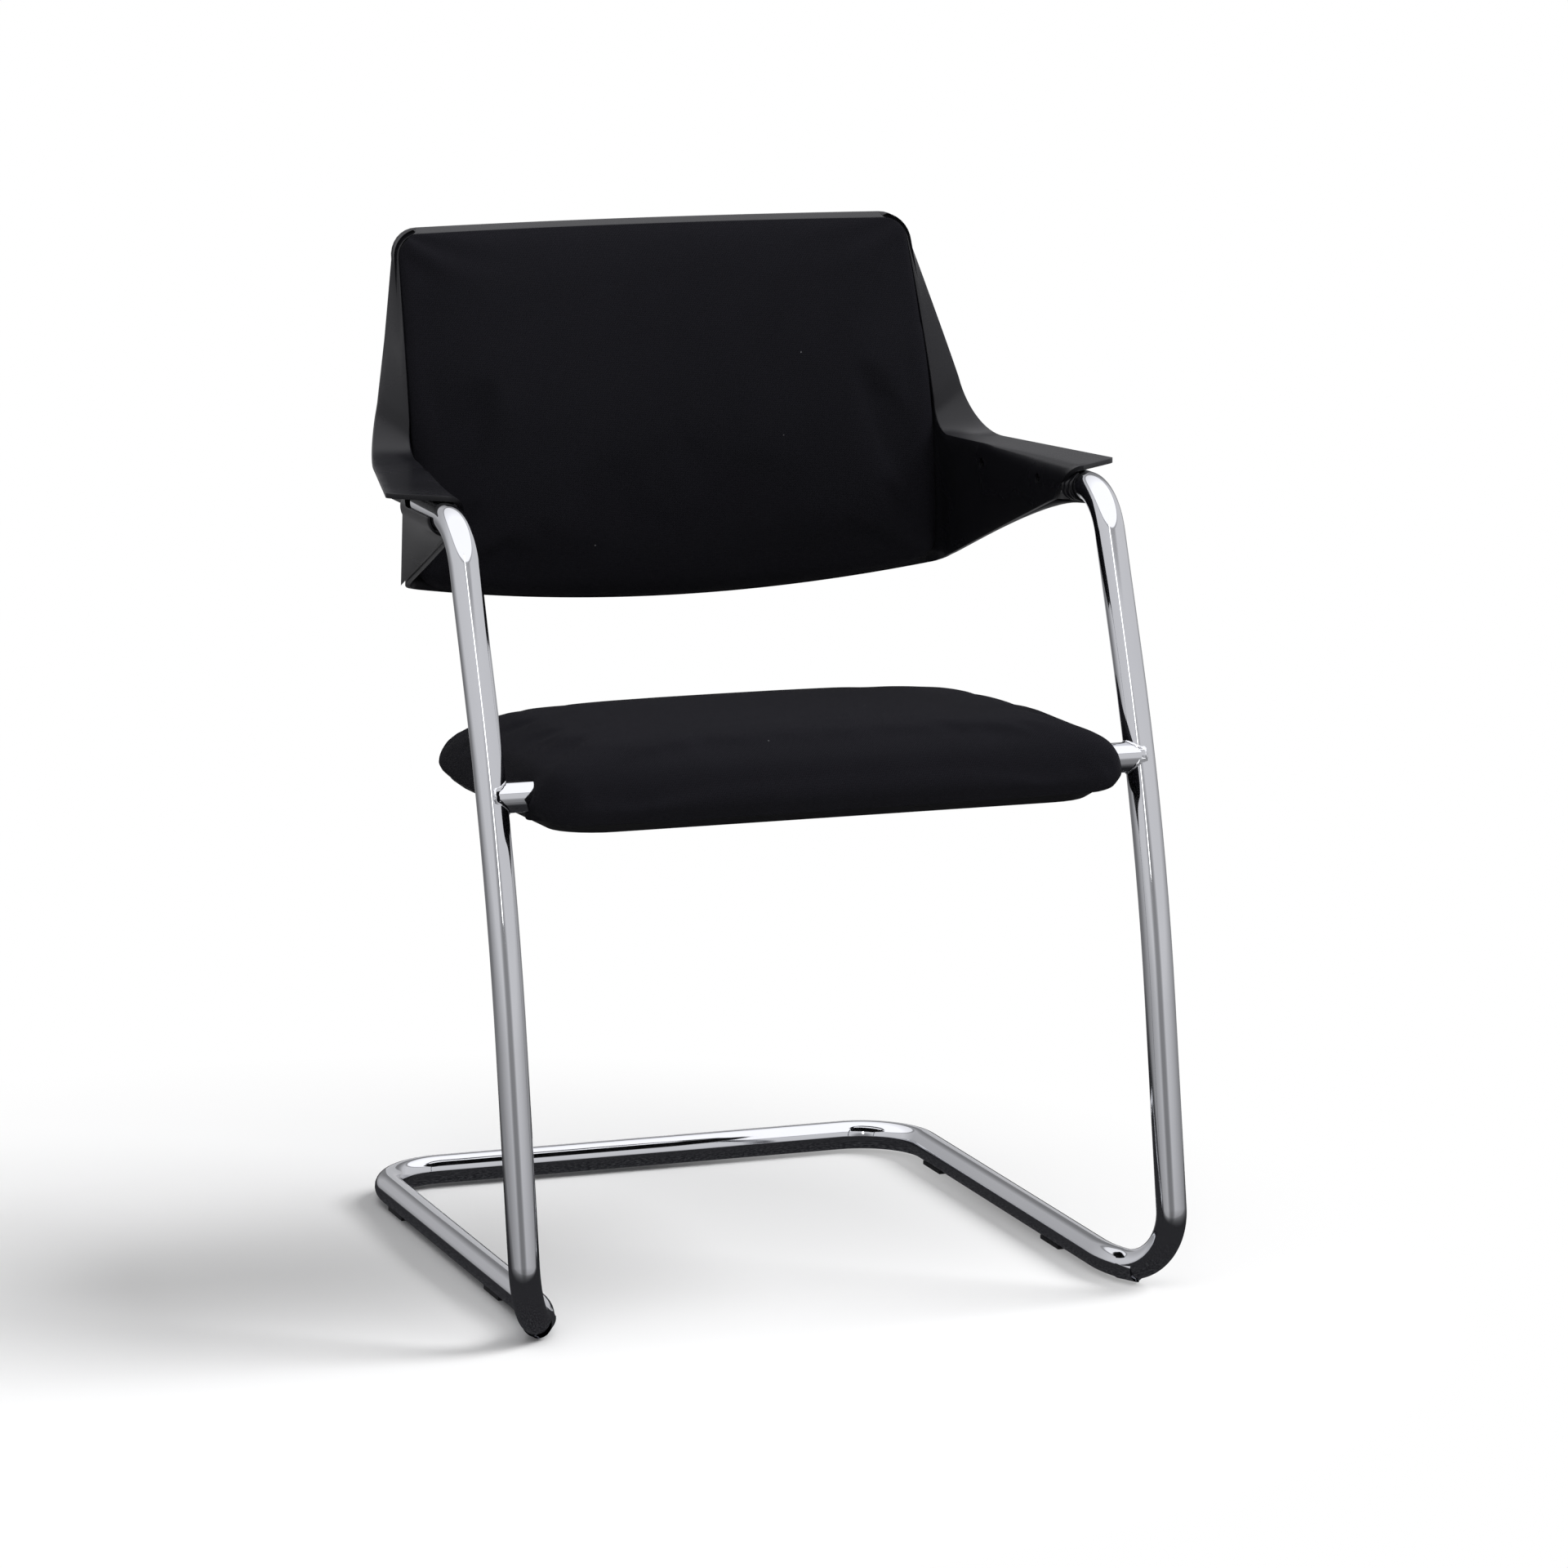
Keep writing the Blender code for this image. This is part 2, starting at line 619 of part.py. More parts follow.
def make_pan():
    """The moulded cover that closes the seat from below, with a boss under each rail screw."""
    wall_in = SKIRT_WALL + TOUCH_GAP
    levels = [
        (PAN_BOTTOM, seat_outline(wall_in + PAN_EDGE_DRAW)),
        (PAN_BOTTOM + PAN_EDGE_RISE, seat_outline(wall_in)),
        (PAN_BOTTOM + PAN_RIM, seat_outline(wall_in)),
    ]
    pan = dish("seat_pan", levels, PAN_BLACK)
    pocket = seat_outline(wall_in + PAN_EDGE_DRAW + PAN_WALL)
    cut(pan, slab("pan_pocket", pocket, PAN_BOTTOM + PAN_FLOOR, PAN_BOTTOM + PAN_RIM + CUT_PAST))
    boss_top = RAIL_TOP - RAIL_THICKNESS - TOUCH_GAP
    shank = SEAT_SCREW_DIAMETER / 2 + HOLE_CLEARANCE
    head = SEAT_SCREW_HEAD / 2 + HOLE_CLEARANCE
    past = CUT_PAST * 3
    profile = [(0, past), (shank, past), (shank, 0), (head, 0), (head, -CUT_PAST), (0, -CUT_PAST)]
    for number, (x, y) in enumerate(SEAT_SCREW_SEATS, 1):
        foot = Vector((x, y, PAN_BOTTOM + PAN_FLOOR / 2))
        crown = Vector((x, y, boss_top))
        boolean(pan, cylinder(f"pan_boss_{number}", foot, crown, PAN_BOSS_DIAMETER / 2, sides=16), "UNION")
        seat = (x, y, PAN_BOTTOM + SEAT_SCREW_SUNK)
        cut(pan, turned(f"pan_screw_hole_{number}", profile, seat, (0, 0, 1)))


def soft_cage(name, stations_u, stations_v, stations_w, shape_of, material):
    """A cube cut at the stations, each corner moved to its place, then smoothed by subdivision."""
    cage = bmesh.new()
    bmesh.ops.create_cube(cage, size=2)
    for axis, stations in enumerate((stations_u, stations_v, stations_w)):
        for station in stations:
            at = Vector((0, 0, 0))
            at[axis] = station
            way = Vector((0, 0, 0))
            way[axis] = 1
            everything = cage.verts[:] + cage.edges[:] + cage.faces[:]
            bmesh.ops.bisect_plane(cage, geom=everything, plane_co=at, plane_no=way)
    for spot in cage.verts:
        spot.co = shape_of(*spot.co)
    cushion = from_bmesh(name, cage, material)
    smooth = cushion.modifiers.new("smooth", "SUBSURF")
    smooth.levels = smooth.render_levels = 1
    return cushion


def seat_point(u, v, w):
    """A point of the seat cushion's cage: u across, v from front to rear, w from skirt to crown."""
    along = (v + 1) / 2
    half = SEAT_HALF - SEAT_REAR_TAPER * along**2
    y = SEAT_FRONT_Y + SEAT_DEPTH * along
    fall = (CUSHION_REAR_FALL if v > 0 else CUSHION_FRONT_FALL) * abs(v) ** 3
    if v > 0:
        fall += CUSHION_REAR_CORNER_FALL * (u * v) ** 4
    crown = CUSHION_CROWN * (1 - u**6) * (1 - v**4)
    on_rim = 1 in (abs(u), abs(v))
    if w > 0:
        z = CUSHION_BASE + CUSHION_EDGE + crown - fall - (CUSHION_SHOULDER_DROP if on_rim else 0)
        inset = CUSHION_SHOULDER
    elif w < 0:
        z = SKIRT_BOTTOM
        inset = CUSHION_SKIRT_DRAW
    else:
        z = SKIRT_BOTTOM + CUSHION_BULGE
        inset = 0
    share = CUSHION_REAR_CORNER_SHARE if v > 0 else CUSHION_FRONT_CORNER_SHARE
    corner = 1 - share * (u * v) ** 4
    centre_y = SEAT_FRONT_Y + SEAT_DEPTH / 2
    return Vector(((half - inset) * u * corner, centre_y + (y - inset * v - centre_y) * corner, z))


CUSHION_COLUMNS = (-0.82, -0.45, 0, 0.45, 0.82)
SEAT_ROWS = (-0.78, -0.4, 0, 0.4, 0.78)
PAD_ROWS = (-0.72, -0.48, -0.24, 0, 0.24, 0.48, 0.72)


def make_seat_cushion():
    cushion = soft_cage("seat_cushion", CUSHION_COLUMNS, SEAT_ROWS, (0,), seat_point, FABRIC)
    pan_top = PAN_BOTTOM + PAN_RIM + TOUCH_GAP
    pan_room = slab("pan_room", seat_outline(SKIRT_WALL), PAN_BOTTOM - CUT_PAST, pan_top)
    board_edge = SKIRT_WALL + BOARD_EDGE - TOUCH_GAP
    board_room = slab("board_room", seat_outline(board_edge), PAN_BOTTOM, CUSHION_BASE)
    slot = TUBE_RADIUS + SLOT_CLEARANCE
    across = Vector((UPRIGHT_X, 0, 0))
    centre = Vector((0, CROSS_Y, CROSS_TUBE_HEIGHT))
    crown = cylinder("tube_slot_crown", centre - across, centre + across, slot)
    low = Vector((-UPRIGHT_X, CROSS_Y - slot, PAN_BOTTOM - CUT_PAST))
    throat = block("tube_slot_throat", low, (UPRIGHT_X, CROSS_Y + slot, CROSS_TUBE_HEIGHT))
    cut(cushion, pan_room, board_room, crown, throat)


# Back shell


def back_line(z):
    """The y of the pad's side edge: upright below the knee, leaning back above it."""
    over = z - BACK_KNEE_HEIGHT
    return BACK_FRONT_Y + math.tan(BACK_LEAN) * (math.hypot(over, BACK_KNEE_SOFTNESS) + over) / 2


def back_half(z):
    """Half the pad's width at a height."""
    rise = (z - BACK_BOTTOM) / (BACK_TOP - BACK_BOTTOM)
    return (BACK_BOTTOM_WIDTH + (BACK_TOP_WIDTH - BACK_BOTTOM_WIDTH) * rise) / 2


def panel_point(x, z):
    hollow = BACK_HOLLOW * (1 - (x / back_half(z)) ** 2)
    return Vector((x, back_line(z) + TRAY_DEPTH + hollow, z))


def panel_normal(x, z):
    step = 1e-4
    across = panel_point(x + step, z) - panel_point(x - step, z)
    up = panel_point(x, z + step) - panel_point(x, z - step)
    return across.cross(up).normalized()


def side_point(z):
    """The band's outer edge, which flares out on its way down to the arm."""
    x = back_half(BACK_TOP) + SIDE_FLARE_SLOPE * (BACK_TOP - z)
    return Vector((x, back_line(z) + SIDE_SETBACK_SLOPE * (z - BACK_KNEE_HEIGHT), z))


def edge_point(z):
    return Vector((back_half(z), back_line(z), z))


def wing_x(y, z=FLANGE_TOP):
    """The wing's inner face runs straight from the back's side to beside the tube."""
    start_y = back_line(FLANGE_TOP)
    share = (start_y - y) / (start_y - WING_END_Y)
    return back_half(z) + (WING_FRONT_X - back_half(z)) * share


def arm_paths():
    """The inner and outer edge of the band, from above the arm, round the bend and along the flange."""
    above = FLANGE_TOP + EDGE_BEND
    nose_y = ARM_CORNER_Y + FLANGE_NOSE_AHEAD
    tip = Vector((UPRIGHT_X + FLANGE_TIP_X, ARM_CORNER_Y + FLANGE_TIP_BACK, FLANGE_TOP))
    inner = [edge_point(above), edge_point(FLANGE_TOP), Vector((wing_x(nose_y), nose_y, FLANGE_TOP))]
    outer = [side_point(above), side_point(FLANGE_TOP), tip]
    bend = math.radians(24)
    inner_path = rounded(inner, [FLANGE_BEND], bend, 1)
    outer_path = rounded(outer, [EDGE_BEND], bend, 1)
    return inner_path, outer_path


def shell_rows():
    """Heights of the panel's rows under the arm, from the bottom edge to the flange."""
    return [BACK_BOTTOM + (FLANGE_TOP - BACK_BOTTOM) * k / 4 for k in range(4)]


def panel_row(half, z):
    """One row of the panel, sinking towards the middle near the bottom edge."""
    low = max(0.0, 1 - (z - BACK_BOTTOM) / (FLANGE_TOP - BACK_BOTTOM))
    row = []
    for k in range(COLUMNS + 1):
        x = half * k / COLUMNS
        drop = BACK_BOTTOM_DROP * (1 - (k / COLUMNS) ** 2) * low
        row.append(panel_point(x, z - drop))
    return row


def quads(shape, first, second):
    """Faces between two rows of points."""
    ones = [shape.verts.new(point) for point in first]
    twos = [shape.verts.new(point) for point in second]
    for a, b, c, d in zip(ones, ones[1:], twos[1:], twos):
        shape.faces.new((a, b, c, d))


def make_shell_surface():
    shape = bmesh.new()
    inner_path, outer_path = arm_paths()
    bend_inner, bend_outer = inner_path[1:-1], outer_path[1:-1]

    # Rows from the bottom edge to the top, with the point where each meets the band or the wing.
    rows = [(panel_row(back_half(z), z), None, None) for z in shell_rows()]
    for near, far in zip(reversed(bend_inner), reversed(bend_outer)):
        rows.append((panel_row(back_half(near.z), near.z), near, far))
    first_straight = bend_inner[0].z
    corner_z = BACK_TOP - TOP_LIP - INNER_CORNER
    for k in range(1, 4):
        z = first_straight + (corner_z - first_straight) * k / 4
        rows.append((panel_row(back_half(z), z), edge_point(z), side_point(z)))
    for k in range(5):
        turn = math.radians(90) * k / 4
        z = corner_z + INNER_CORNER * math.sin(turn)
        half = back_half(corner_z) - INNER_CORNER * (1 - math.cos(turn))
        outer_z = BACK_TOP - OUTER_CORNER * (1 - math.sin(turn))
        outer_x = side_point(BACK_TOP - OUTER_CORNER).x - OUTER_CORNER * (1 - math.cos(turn))
        near = Vector((half, back_line(z), z))
        far = Vector((outer_x, side_point(outer_z).y, outer_z))
        rows.append((panel_row(half, z), near, far))
    for (row, _, _), (above, _, _) in zip(rows, rows[1:]):
        quads(shape, row, above)

    # The tray's side wall and the band beside it.
    sided = [(row[-1], near, far) for row, near, far in rows if near]
    quads(shape, [end for end, _, _ in sided], [near for _, near, _ in sided])
    quads(shape, [near for _, near, _ in sided], [far for _, _, far in sided])

    # The tray's top wall and the lip above it.
    top_row, top_near, top_far = rows[-1]
    shelf = [Vector((point.x, point.y - TRAY_DEPTH, point.z)) for point in top_row[:-1]] + [top_near]
    lip_y = top_far.y - top_near.y
    lip = [Vector((point.x, point.y + lip_y, BACK_TOP)) for point in shelf[:-1]] + [top_far]
    quads(shape, top_row, shelf)
    quads(shape, shelf, lip)

    # The flange from the bend to its nose, with its corners cut.
    start, nose = bend_inner[-1], inner_path[-1]
    far_start, tip = bend_outer[-1], outer_path[-1]
    stations = [WING_END_Y + WING_CHIN, WING_END_Y]
    length = start.y - WING_END_Y
    spans = [start.y + (stations[0] - start.y) * k / 3 for k in range(3)] + stations
    inner_run = [Vector((wing_x(y), y, FLANGE_TOP)) for y in spans]
    inner_run[0] = start
    outer_run = [far_start.lerp(tip, (start.y - y) / length) for y in spans]
    cut_in = (tip - nose).normalized() * FLANGE_CORNER
    inner_run.append(nose + cut_in)
    outer_run.append(tip - cut_in + Vector((0, -FLANGE_CORNER / 2, 0)))
    quads(shape, inner_run, outer_run)

    # The wing under the flange, from the panel's side to its chin and front edge.
    def lower(y):
        rise = (back_line(BACK_BOTTOM) + WING_LOWER_START - y) * WING_LOWER_SLOPE
        chin = max(0.0, stations[0] - y) * WING_CHIN_SLOPE
        return BACK_BOTTOM + max(0.0, rise) + chin

    under = [rows[k][0][-1] for k in range(4)] + [rows[4][0][-1]]
    columns = [under]
    for point in inner_run[:-1]:
        low = lower(point.y)
        heights = [low + (FLANGE_TOP - low) * k / 4 for k in range(4)]
        columns.append([Vector((wing_x(point.y, z), point.y, z)) for z in heights] + [point])
    for column, ahead in zip(columns, columns[1:]):
        quads(shape, column, ahead)

    bmesh.ops.remove_doubles(shape, verts=shape.verts, dist=1e-5)
    return shape


def make_back_shell():
    shell = from_bmesh("back_shell", make_shell_surface(), SHELL_BLACK)
    knee = Vector((0, BACK_FRONT_Y, BACK_KNEE_HEIGHT))
    middle = min(shell.data.polygons, key=lambda face: (face.center - knee).length)
    if middle.normal.y > 0:
        shell.data.flip_normals()
    whole = shell.modifiers.new("other_half", "MIRROR")
    whole.merge_threshold = 1e-5
    wall = shell.modifiers.new("wall", "SOLIDIFY")
    wall.thickness = SHELL_THICKNESS
    wall.offset = -1
    shank = ARM_SCREW_DIAMETER / 2 + HOLE_CLEARANCE
    head = ARM_SCREW_HEAD / 2 + HOLE_CLEARANCE
    for side, sign in SIDES:
        for number, y in enumerate(ARM_SCREW_YS, 1):
            name = f"{side}_{number}"
            face_x = wing_x(y, ARM_HEIGHT)
            foot = Vector((sign * (face_x + SHELL_THICKNESS / 2), y, ARM_HEIGHT))
            crown = Vector((sign * (ARM_SCREW_SEATS[number - 1] - TOUCH_GAP), y, ARM_HEIGHT))
            boss = cylinder("arm_boss_" + name, foot, crown, ARM_BOSS_DIAMETER / 2, sides=16)
            boolean(shell, boss, "UNION")
            profile = [
                (0, CUT_PAST * 2),
                (shank, CUT_PAST * 2),
                (shank, 0),
                (head, 0),
                (head, -CUT_PAST),
                (0, -CUT_PAST),
            ]
            seat = (sign * (face_x + ARM_SCREW_SUNK), y, ARM_HEIGHT)
            cut(shell, turned("arm_screw_hole_" + name, profile, seat, (sign, 0, 0)))
    hole = CLIP_STEM_DIAMETER / 2 + HOLE_CLEARANCE
    for name, spot, way in clip_seats():
        reach = way * CUT_PAST
        cut(shell, cylinder("shell_hole_" + name, spot - reach, spot + reach, hole, sides=12))


# Arm fixings


def make_arm_fixings():
    shank = ARM_SCREW_DIAMETER / 2
    head = ARM_SCREW_HEAD / 2
    bore = shank + HOLE_CLEARANCE
    barrel = bore + INSERT_WALL
    bulge = barrel + INSERT_BULGE
    socket = ARM_SCREW_HEAD_HEIGHT * SOCKET_SHARE
    bulge_start = TUBE_RADIUS - math.sqrt(TUBE_BORE**2 - bulge**2) + TOUCH_GAP
    insert = [
        (bore, INSERT_LENGTH),
        (barrel, INSERT_LENGTH),
        (bulge, INSERT_LENGTH - INSERT_BULGE * 2),
        (bulge, bulge_start),
        (barrel, bulge_start),
        (barrel, TOUCH_GAP),
        (bore, TOUCH_GAP),
    ]
    for side, sign in SIDES:
        seat = (sign * ARM_SCREW_SEATS[0], ARM_SCREW_YS[0], ARM_HEIGHT)
        turned(f"arm_insert_{side}", insert, seat, (sign, 0, 0), ZINC, closed=True)
        for number, (y, seat_x) in enumerate(zip(ARM_SCREW_YS, ARM_SCREW_SEATS), 1):
            head_x = wing_x(y, ARM_HEIGHT) + ARM_SCREW_SUNK
            tip = seat_x - head_x + ARM_SCREW_REACH
            screw = [
                (0, tip),
                (shank * TIP_SHARE, tip),
                (shank, tip - shank / 2),
                (shank, -TOUCH_GAP),
                (head, -TOUCH_GAP),
                (head, -ARM_SCREW_HEAD_HEIGHT * TIP_SHARE),
                (head * HEAD_EDGE_SHARE, -ARM_SCREW_HEAD_HEIGHT),
                (shank * SOCKET_WIDTH_SHARE, -ARM_SCREW_HEAD_HEIGHT),
                (shank * SOCKET_WIDTH_SHARE, socket - ARM_SCREW_HEAD_HEIGHT),
                (0, socket - ARM_SCREW_HEAD_HEIGHT),
            ]
            turned(f"arm_screw_{side}_{number}", screw, (sign * head_x, y, ARM_HEIGHT), (sign, 0, 0), ZINC)


def tube_wrap(name, sign, begin, end, wall, front, length):
    """A strip of pipe lying on the tube's arm run between two angles, measured from the outer side."""
    inner = TUBE_RADIUS + TOUCH_GAP
    outer = inner + wall
    angles = [begin + (end - begin) * k / WRAP_STEPS for k in range(WRAP_STEPS + 1)]
    outline = [Vector((outer * math.cos(a), outer * math.sin(a), 0)) for a in angles]
    outline += [Vector((inner * math.cos(a), inner * math.sin(a), 0)) for a in reversed(angles)]
    wrap = slab(name, outline, -length, 0, SHELL_BLACK)
    wrap.data.transform(Matrix(((sign, 0, 0, 0), (0, 0, -1, 0), (0, 1, 0, 0), (0, 0, 0, 1))))
    if sign < 0:
        wrap.data.flip_normals()
    wrap.location = (sign * UPRIGHT_X, front, ARM_HEIGHT)


def make_wraps():
    """A saddle at the end of each wing and a cover under the outer side of the tube's arm run."""
    front = WING_END_Y - TOUCH_GAP - SADDLE_LENGTH
    for side, sign in SIDES:
        tube_wrap(f"arm_saddle_{side}", sign, SADDLE_FROM, SADDLE_TO, SADDLE_WALL, front, SADDLE_LENGTH)
        tube_wrap(f"arm_tube_cover_{side}", sign, COVER_FROM, COVER_TO, COVER_WALL, front, ARM_END_Y - front)


# Back pad


def clip_seats():
    """The push clips between the carrier and the shell: a name, a point of the panel and the way out."""
    found = []
    for side, sign in SIDES:
        x = sign * CLIP_SPACING / 2
        for number, rise in enumerate((CLIP_LOW_RISE, CLIP_MIDDLE_RISE, CLIP_HIGH_RISE), 1):
            z = BACK_BOTTOM + rise
            found.append((f"{side}_{number}", panel_point(x, z), panel_normal(x, z)))
    return found


CARRIER_OFFSET = CLIP_FLANGE_HEIGHT + 2 * TOUCH_GAP
PAD_OFFSET = CARRIER_OFFSET + CARRIER_THICKNESS + 2 * TOUCH_GAP


def pad_bottom(x):
    return BACK_BOTTOM - BACK_BOTTOM_DROP * (1 - (x / back_half(BACK_BOTTOM)) ** 2)


def make_carrier():
    shape = bmesh.new()
    top = BACK_TOP - TOP_LIP - CARRIER_INSET
    rows = []
    for k in range(CARRIER_ROWS + 1):
        row = []
        for i in range(COLUMNS + 1):
            x = (2 * i / COLUMNS - 1) * (back_half(top) - CARRIER_INSET)
            low = pad_bottom(x) + CARRIER_INSET
            z = low + (top - low) * k / CARRIER_ROWS
            row.append(panel_point(x, z) + panel_normal(x, z) * CARRIER_OFFSET)
        rows.append(row)
    for row, above in zip(rows, rows[1:]):
        quads(shape, row, above)
    bmesh.ops.remove_doubles(shape, verts=shape.verts, dist=1e-5)
    carrier = from_bmesh("back_pad_carrier", shape, NYLON)
    if carrier.data.polygons[0].normal.y > 0:
        carrier.data.flip_normals()
    wall = carrier.modifiers.new("wall", "SOLIDIFY")
    wall.thickness = CARRIER_THICKNESS
    wall.offset = 1
    hole = CLIP_STEM_DIAMETER / 2 + HOLE_CLEARANCE
    for name, spot, way in clip_seats():
        reach = way * CUT_PAST
        cut(carrier, cylinder("carrier_hole_" + name, spot - reach, spot + reach, hole, sides=12))


def make_clips():
    stem = CLIP_STEM_DIAMETER / 2
    flange = CLIP_FLANGE_DIAMETER / 2
    top = CARRIER_OFFSET + CARRIER_THICKNESS - TOUCH_GAP
    flange_top = TOUCH_GAP + CLIP_FLANGE_HEIGHT
    profile = [
        (0, top),
        (stem * TIP_SHARE, top),
        (stem, top - stem / 2),
        (stem, flange_top),
        (flange, flange_top),
        (flange, TOUCH_GAP),
        (stem, TOUCH_GAP),
        (stem, -SHELL_THICKNESS * TIP_SHARE),
        (stem * TIP_SHARE, -SHELL_THICKNESS * HEAD_EDGE_SHARE),
        (0, -SHELL_THICKNESS * HEAD_EDGE_SHARE),
    ]
    for name, spot, way in clip_seats():
        turned("back_clip_" + name, profile, spot, way, NYLON)


def pad_point(u, v, w):
    """A point of the back cushion's cage laid flat: u across, v upwards, w from carrier to crown."""
    rise = (v + 1) / 2
    top = BACK_TOP - TOP_LIP - PAD_INSET
    guess = BACK_BOTTOM + (top - BACK_BOTTOM) * rise
    half = back_half(guess) - PAD_INSET - PAD_DRAW * (1 - v * v)
    x = u * half
    low = pad_bottom(x) + PAD_INSET + PAD_DRAW * (1 - u * u)
    z = low + (top - low) * rise
    thickness = PAD_EDGE + PAD_CROWN * (1 - u**4) * (1 - v**4)
    return Vector((x, PAD_OFFSET + thickness * (w + 1) / 2, z))


def make_back_cushion():
    """The flat cushion, smoothed and then bent to the panel's curve."""
    cushion = soft_cage("back_cushion", CUSHION_COLUMNS, PAD_ROWS, (0,), pad_point, FABRIC)
    bpy.context.view_layer.update()
    smoothed = cushion.evaluated_get(bpy.context.evaluated_depsgraph_get())
    bent = bpy.data.meshes.new_from_object(smoothed)
    for spot in bent.vertices:
        x, out, z = spot.co
        spot.co = panel_point(x, z) + Vector((0, out / panel_normal(x, z).y, 0))
    cushion.modifiers.clear()
    bent.flip_normals()
    cushion.data = bent


def make_tilted(*makers):
    """Makes pieces in the chair's frame and hangs them, with their cutters, on the tipped seat."""
    before = set(bpy.data.objects)
    for make in makers:
        make()
    for thing in set(bpy.data.objects) - before:
        thing.parent = SEAT_ROOT


make_frame()
make_glides()
make_plugs()
make_cross_tube()
make_tilted(make_rails, make_board, make_tee_nuts, make_pan, make_seat_screws, make_seat_cushion)
make_back_shell()
make_wraps()
make_arm_fixings()
make_carrier()
make_clips()
make_back_cushion()
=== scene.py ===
import math

import bpy
from mathutils import Matrix, Vector
from mathutils.bvhtree import BVHTree


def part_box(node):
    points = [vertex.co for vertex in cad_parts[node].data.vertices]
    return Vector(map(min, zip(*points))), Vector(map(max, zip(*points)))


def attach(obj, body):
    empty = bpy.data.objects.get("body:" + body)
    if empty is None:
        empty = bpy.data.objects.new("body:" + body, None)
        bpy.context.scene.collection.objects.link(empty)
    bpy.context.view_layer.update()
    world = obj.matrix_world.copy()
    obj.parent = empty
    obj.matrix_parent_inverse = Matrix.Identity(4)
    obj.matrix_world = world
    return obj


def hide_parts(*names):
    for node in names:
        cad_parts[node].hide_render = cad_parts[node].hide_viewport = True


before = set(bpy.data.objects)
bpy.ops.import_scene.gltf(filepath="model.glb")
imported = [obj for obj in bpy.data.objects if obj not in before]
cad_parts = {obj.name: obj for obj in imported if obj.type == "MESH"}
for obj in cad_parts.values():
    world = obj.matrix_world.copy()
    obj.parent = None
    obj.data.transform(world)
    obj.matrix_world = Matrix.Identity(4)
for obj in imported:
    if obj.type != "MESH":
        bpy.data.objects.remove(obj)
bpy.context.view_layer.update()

print("frame loaded:", len(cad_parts), "nodes")

# the chair's own y is 0 at the rear floor tube and falls towards the front
tube = {
    "radius": 0.0125, "wall": 0.0025, "sides": 48,
    "uprightX": 0.2765, "runnerX": 0.245, "depth": 0.547, "flare": 0.060,
    "floorLine": 0.0145, "kneeZ": 0.375, "lowerLean": 9.5, "upperLean": 21.8,
    "armZ": 0.637, "armRun": 0.120,
    "bends": [0.060, 0.114, 0.047, 1.33, 0.050], "bendStep": 4, "longestStep": 0.03,
    "crossZ": 0.430, "crossWall": 0.002, "copeGap": 0.0001, "copeSides": 64,
}
weld = {"thickness": 0.00165, "around": 64, "sides": 10, "sunk": 0.0006, "ripple": 0.0003, "ripples": 22}
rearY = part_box("sled_frame")[1][1] - tube["radius"]
alongX = (0, math.radians(90), 0)  # turns a primitive's axis to the chair's width


def chair(x, y, z):
    return Vector((x, y + rearY, z))


# small helpers for operators
mergeGap = 1e-5


def deselectAll():
    if bpy.context.mode != "OBJECT":
        bpy.ops.object.mode_set(mode="OBJECT")
    bpy.ops.object.select_all(action="DESELECT")


def take(piece):
    deselectAll()
    piece.select_set(True)
    bpy.context.view_layer.objects.active = piece


def started(name):
    piece = bpy.context.object
    piece.name = name
    piece.data.name = name
    bpy.ops.object.transform_apply(location=True, rotation=True, scale=True)
    return piece


def cylinder(name, radius, depth, place, turn, sides):
    deselectAll()
    bpy.ops.mesh.primitive_cylinder_add(vertices=sides, radius=radius, depth=depth, location=place, rotation=turn)
    return started(name)


def copyOf(nodeName, name):
    piece = bpy.data.objects.new(name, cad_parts[nodeName].data.copy())
    piece.data.name = name
    bpy.context.scene.collection.objects.link(piece)
    mergeAndFace(piece)
    return piece


def editAll(piece):
    take(piece)
    bpy.ops.object.mode_set(mode="EDIT")
    bpy.ops.mesh.select_all(action="SELECT")


def editDone():
    bpy.ops.object.mode_set(mode="OBJECT")


def pick(piece, wanted):
    # selects vertices by their place and stays in edit mode
    take(piece)
    bpy.ops.object.mode_set(mode="EDIT")
    bpy.ops.mesh.select_mode(type="VERT")
    bpy.ops.mesh.select_all(action="DESELECT")
    editDone()
    for spot in piece.data.vertices:
        spot.select = bool(wanted(spot))
    bpy.ops.object.mode_set(mode="EDIT")
    bpy.ops.mesh.select_mode(type="VERT")


def applyAll(piece):
    take(piece)
    for modifier in list(piece.modifiers):
        bpy.ops.object.modifier_apply(modifier=modifier.name)


def mergeAndFace(piece):
    editAll(piece)
    bpy.ops.mesh.remove_doubles(threshold=mergeGap)
    bpy.ops.mesh.normals_make_consistent(inside=False)
    editDone()


def flipFaces(piece):
    editAll(piece)
    bpy.ops.mesh.flip_normals()
    editDone()


def dissolveFlat(piece, angle):
    editAll(piece)
    bpy.ops.mesh.dissolve_limited(angle_limit=math.radians(angle))
    editDone()


def addWall(piece, thickness):
    wall = piece.modifiers.new("wall", "SOLIDIFY")
    wall.thickness = thickness
    wall.offset = -1


def addRound(piece, width, angle, segments):
    edge = piece.modifiers.new("edge", "BEVEL")
    edge.limit_method = "ANGLE"
    edge.angle_limit = math.radians(angle)
    edge.width = width
    edge.segments = segments


def smoothed(piece, angle=35):
    take(piece)
    bpy.ops.object.shade_smooth_by_angle(angle=math.radians(angle))


def mirrorX(piece):
    other = piece.modifiers.new("otherSide", "MIRROR")
    other.merge_threshold = mergeGap
    applyAll(piece)


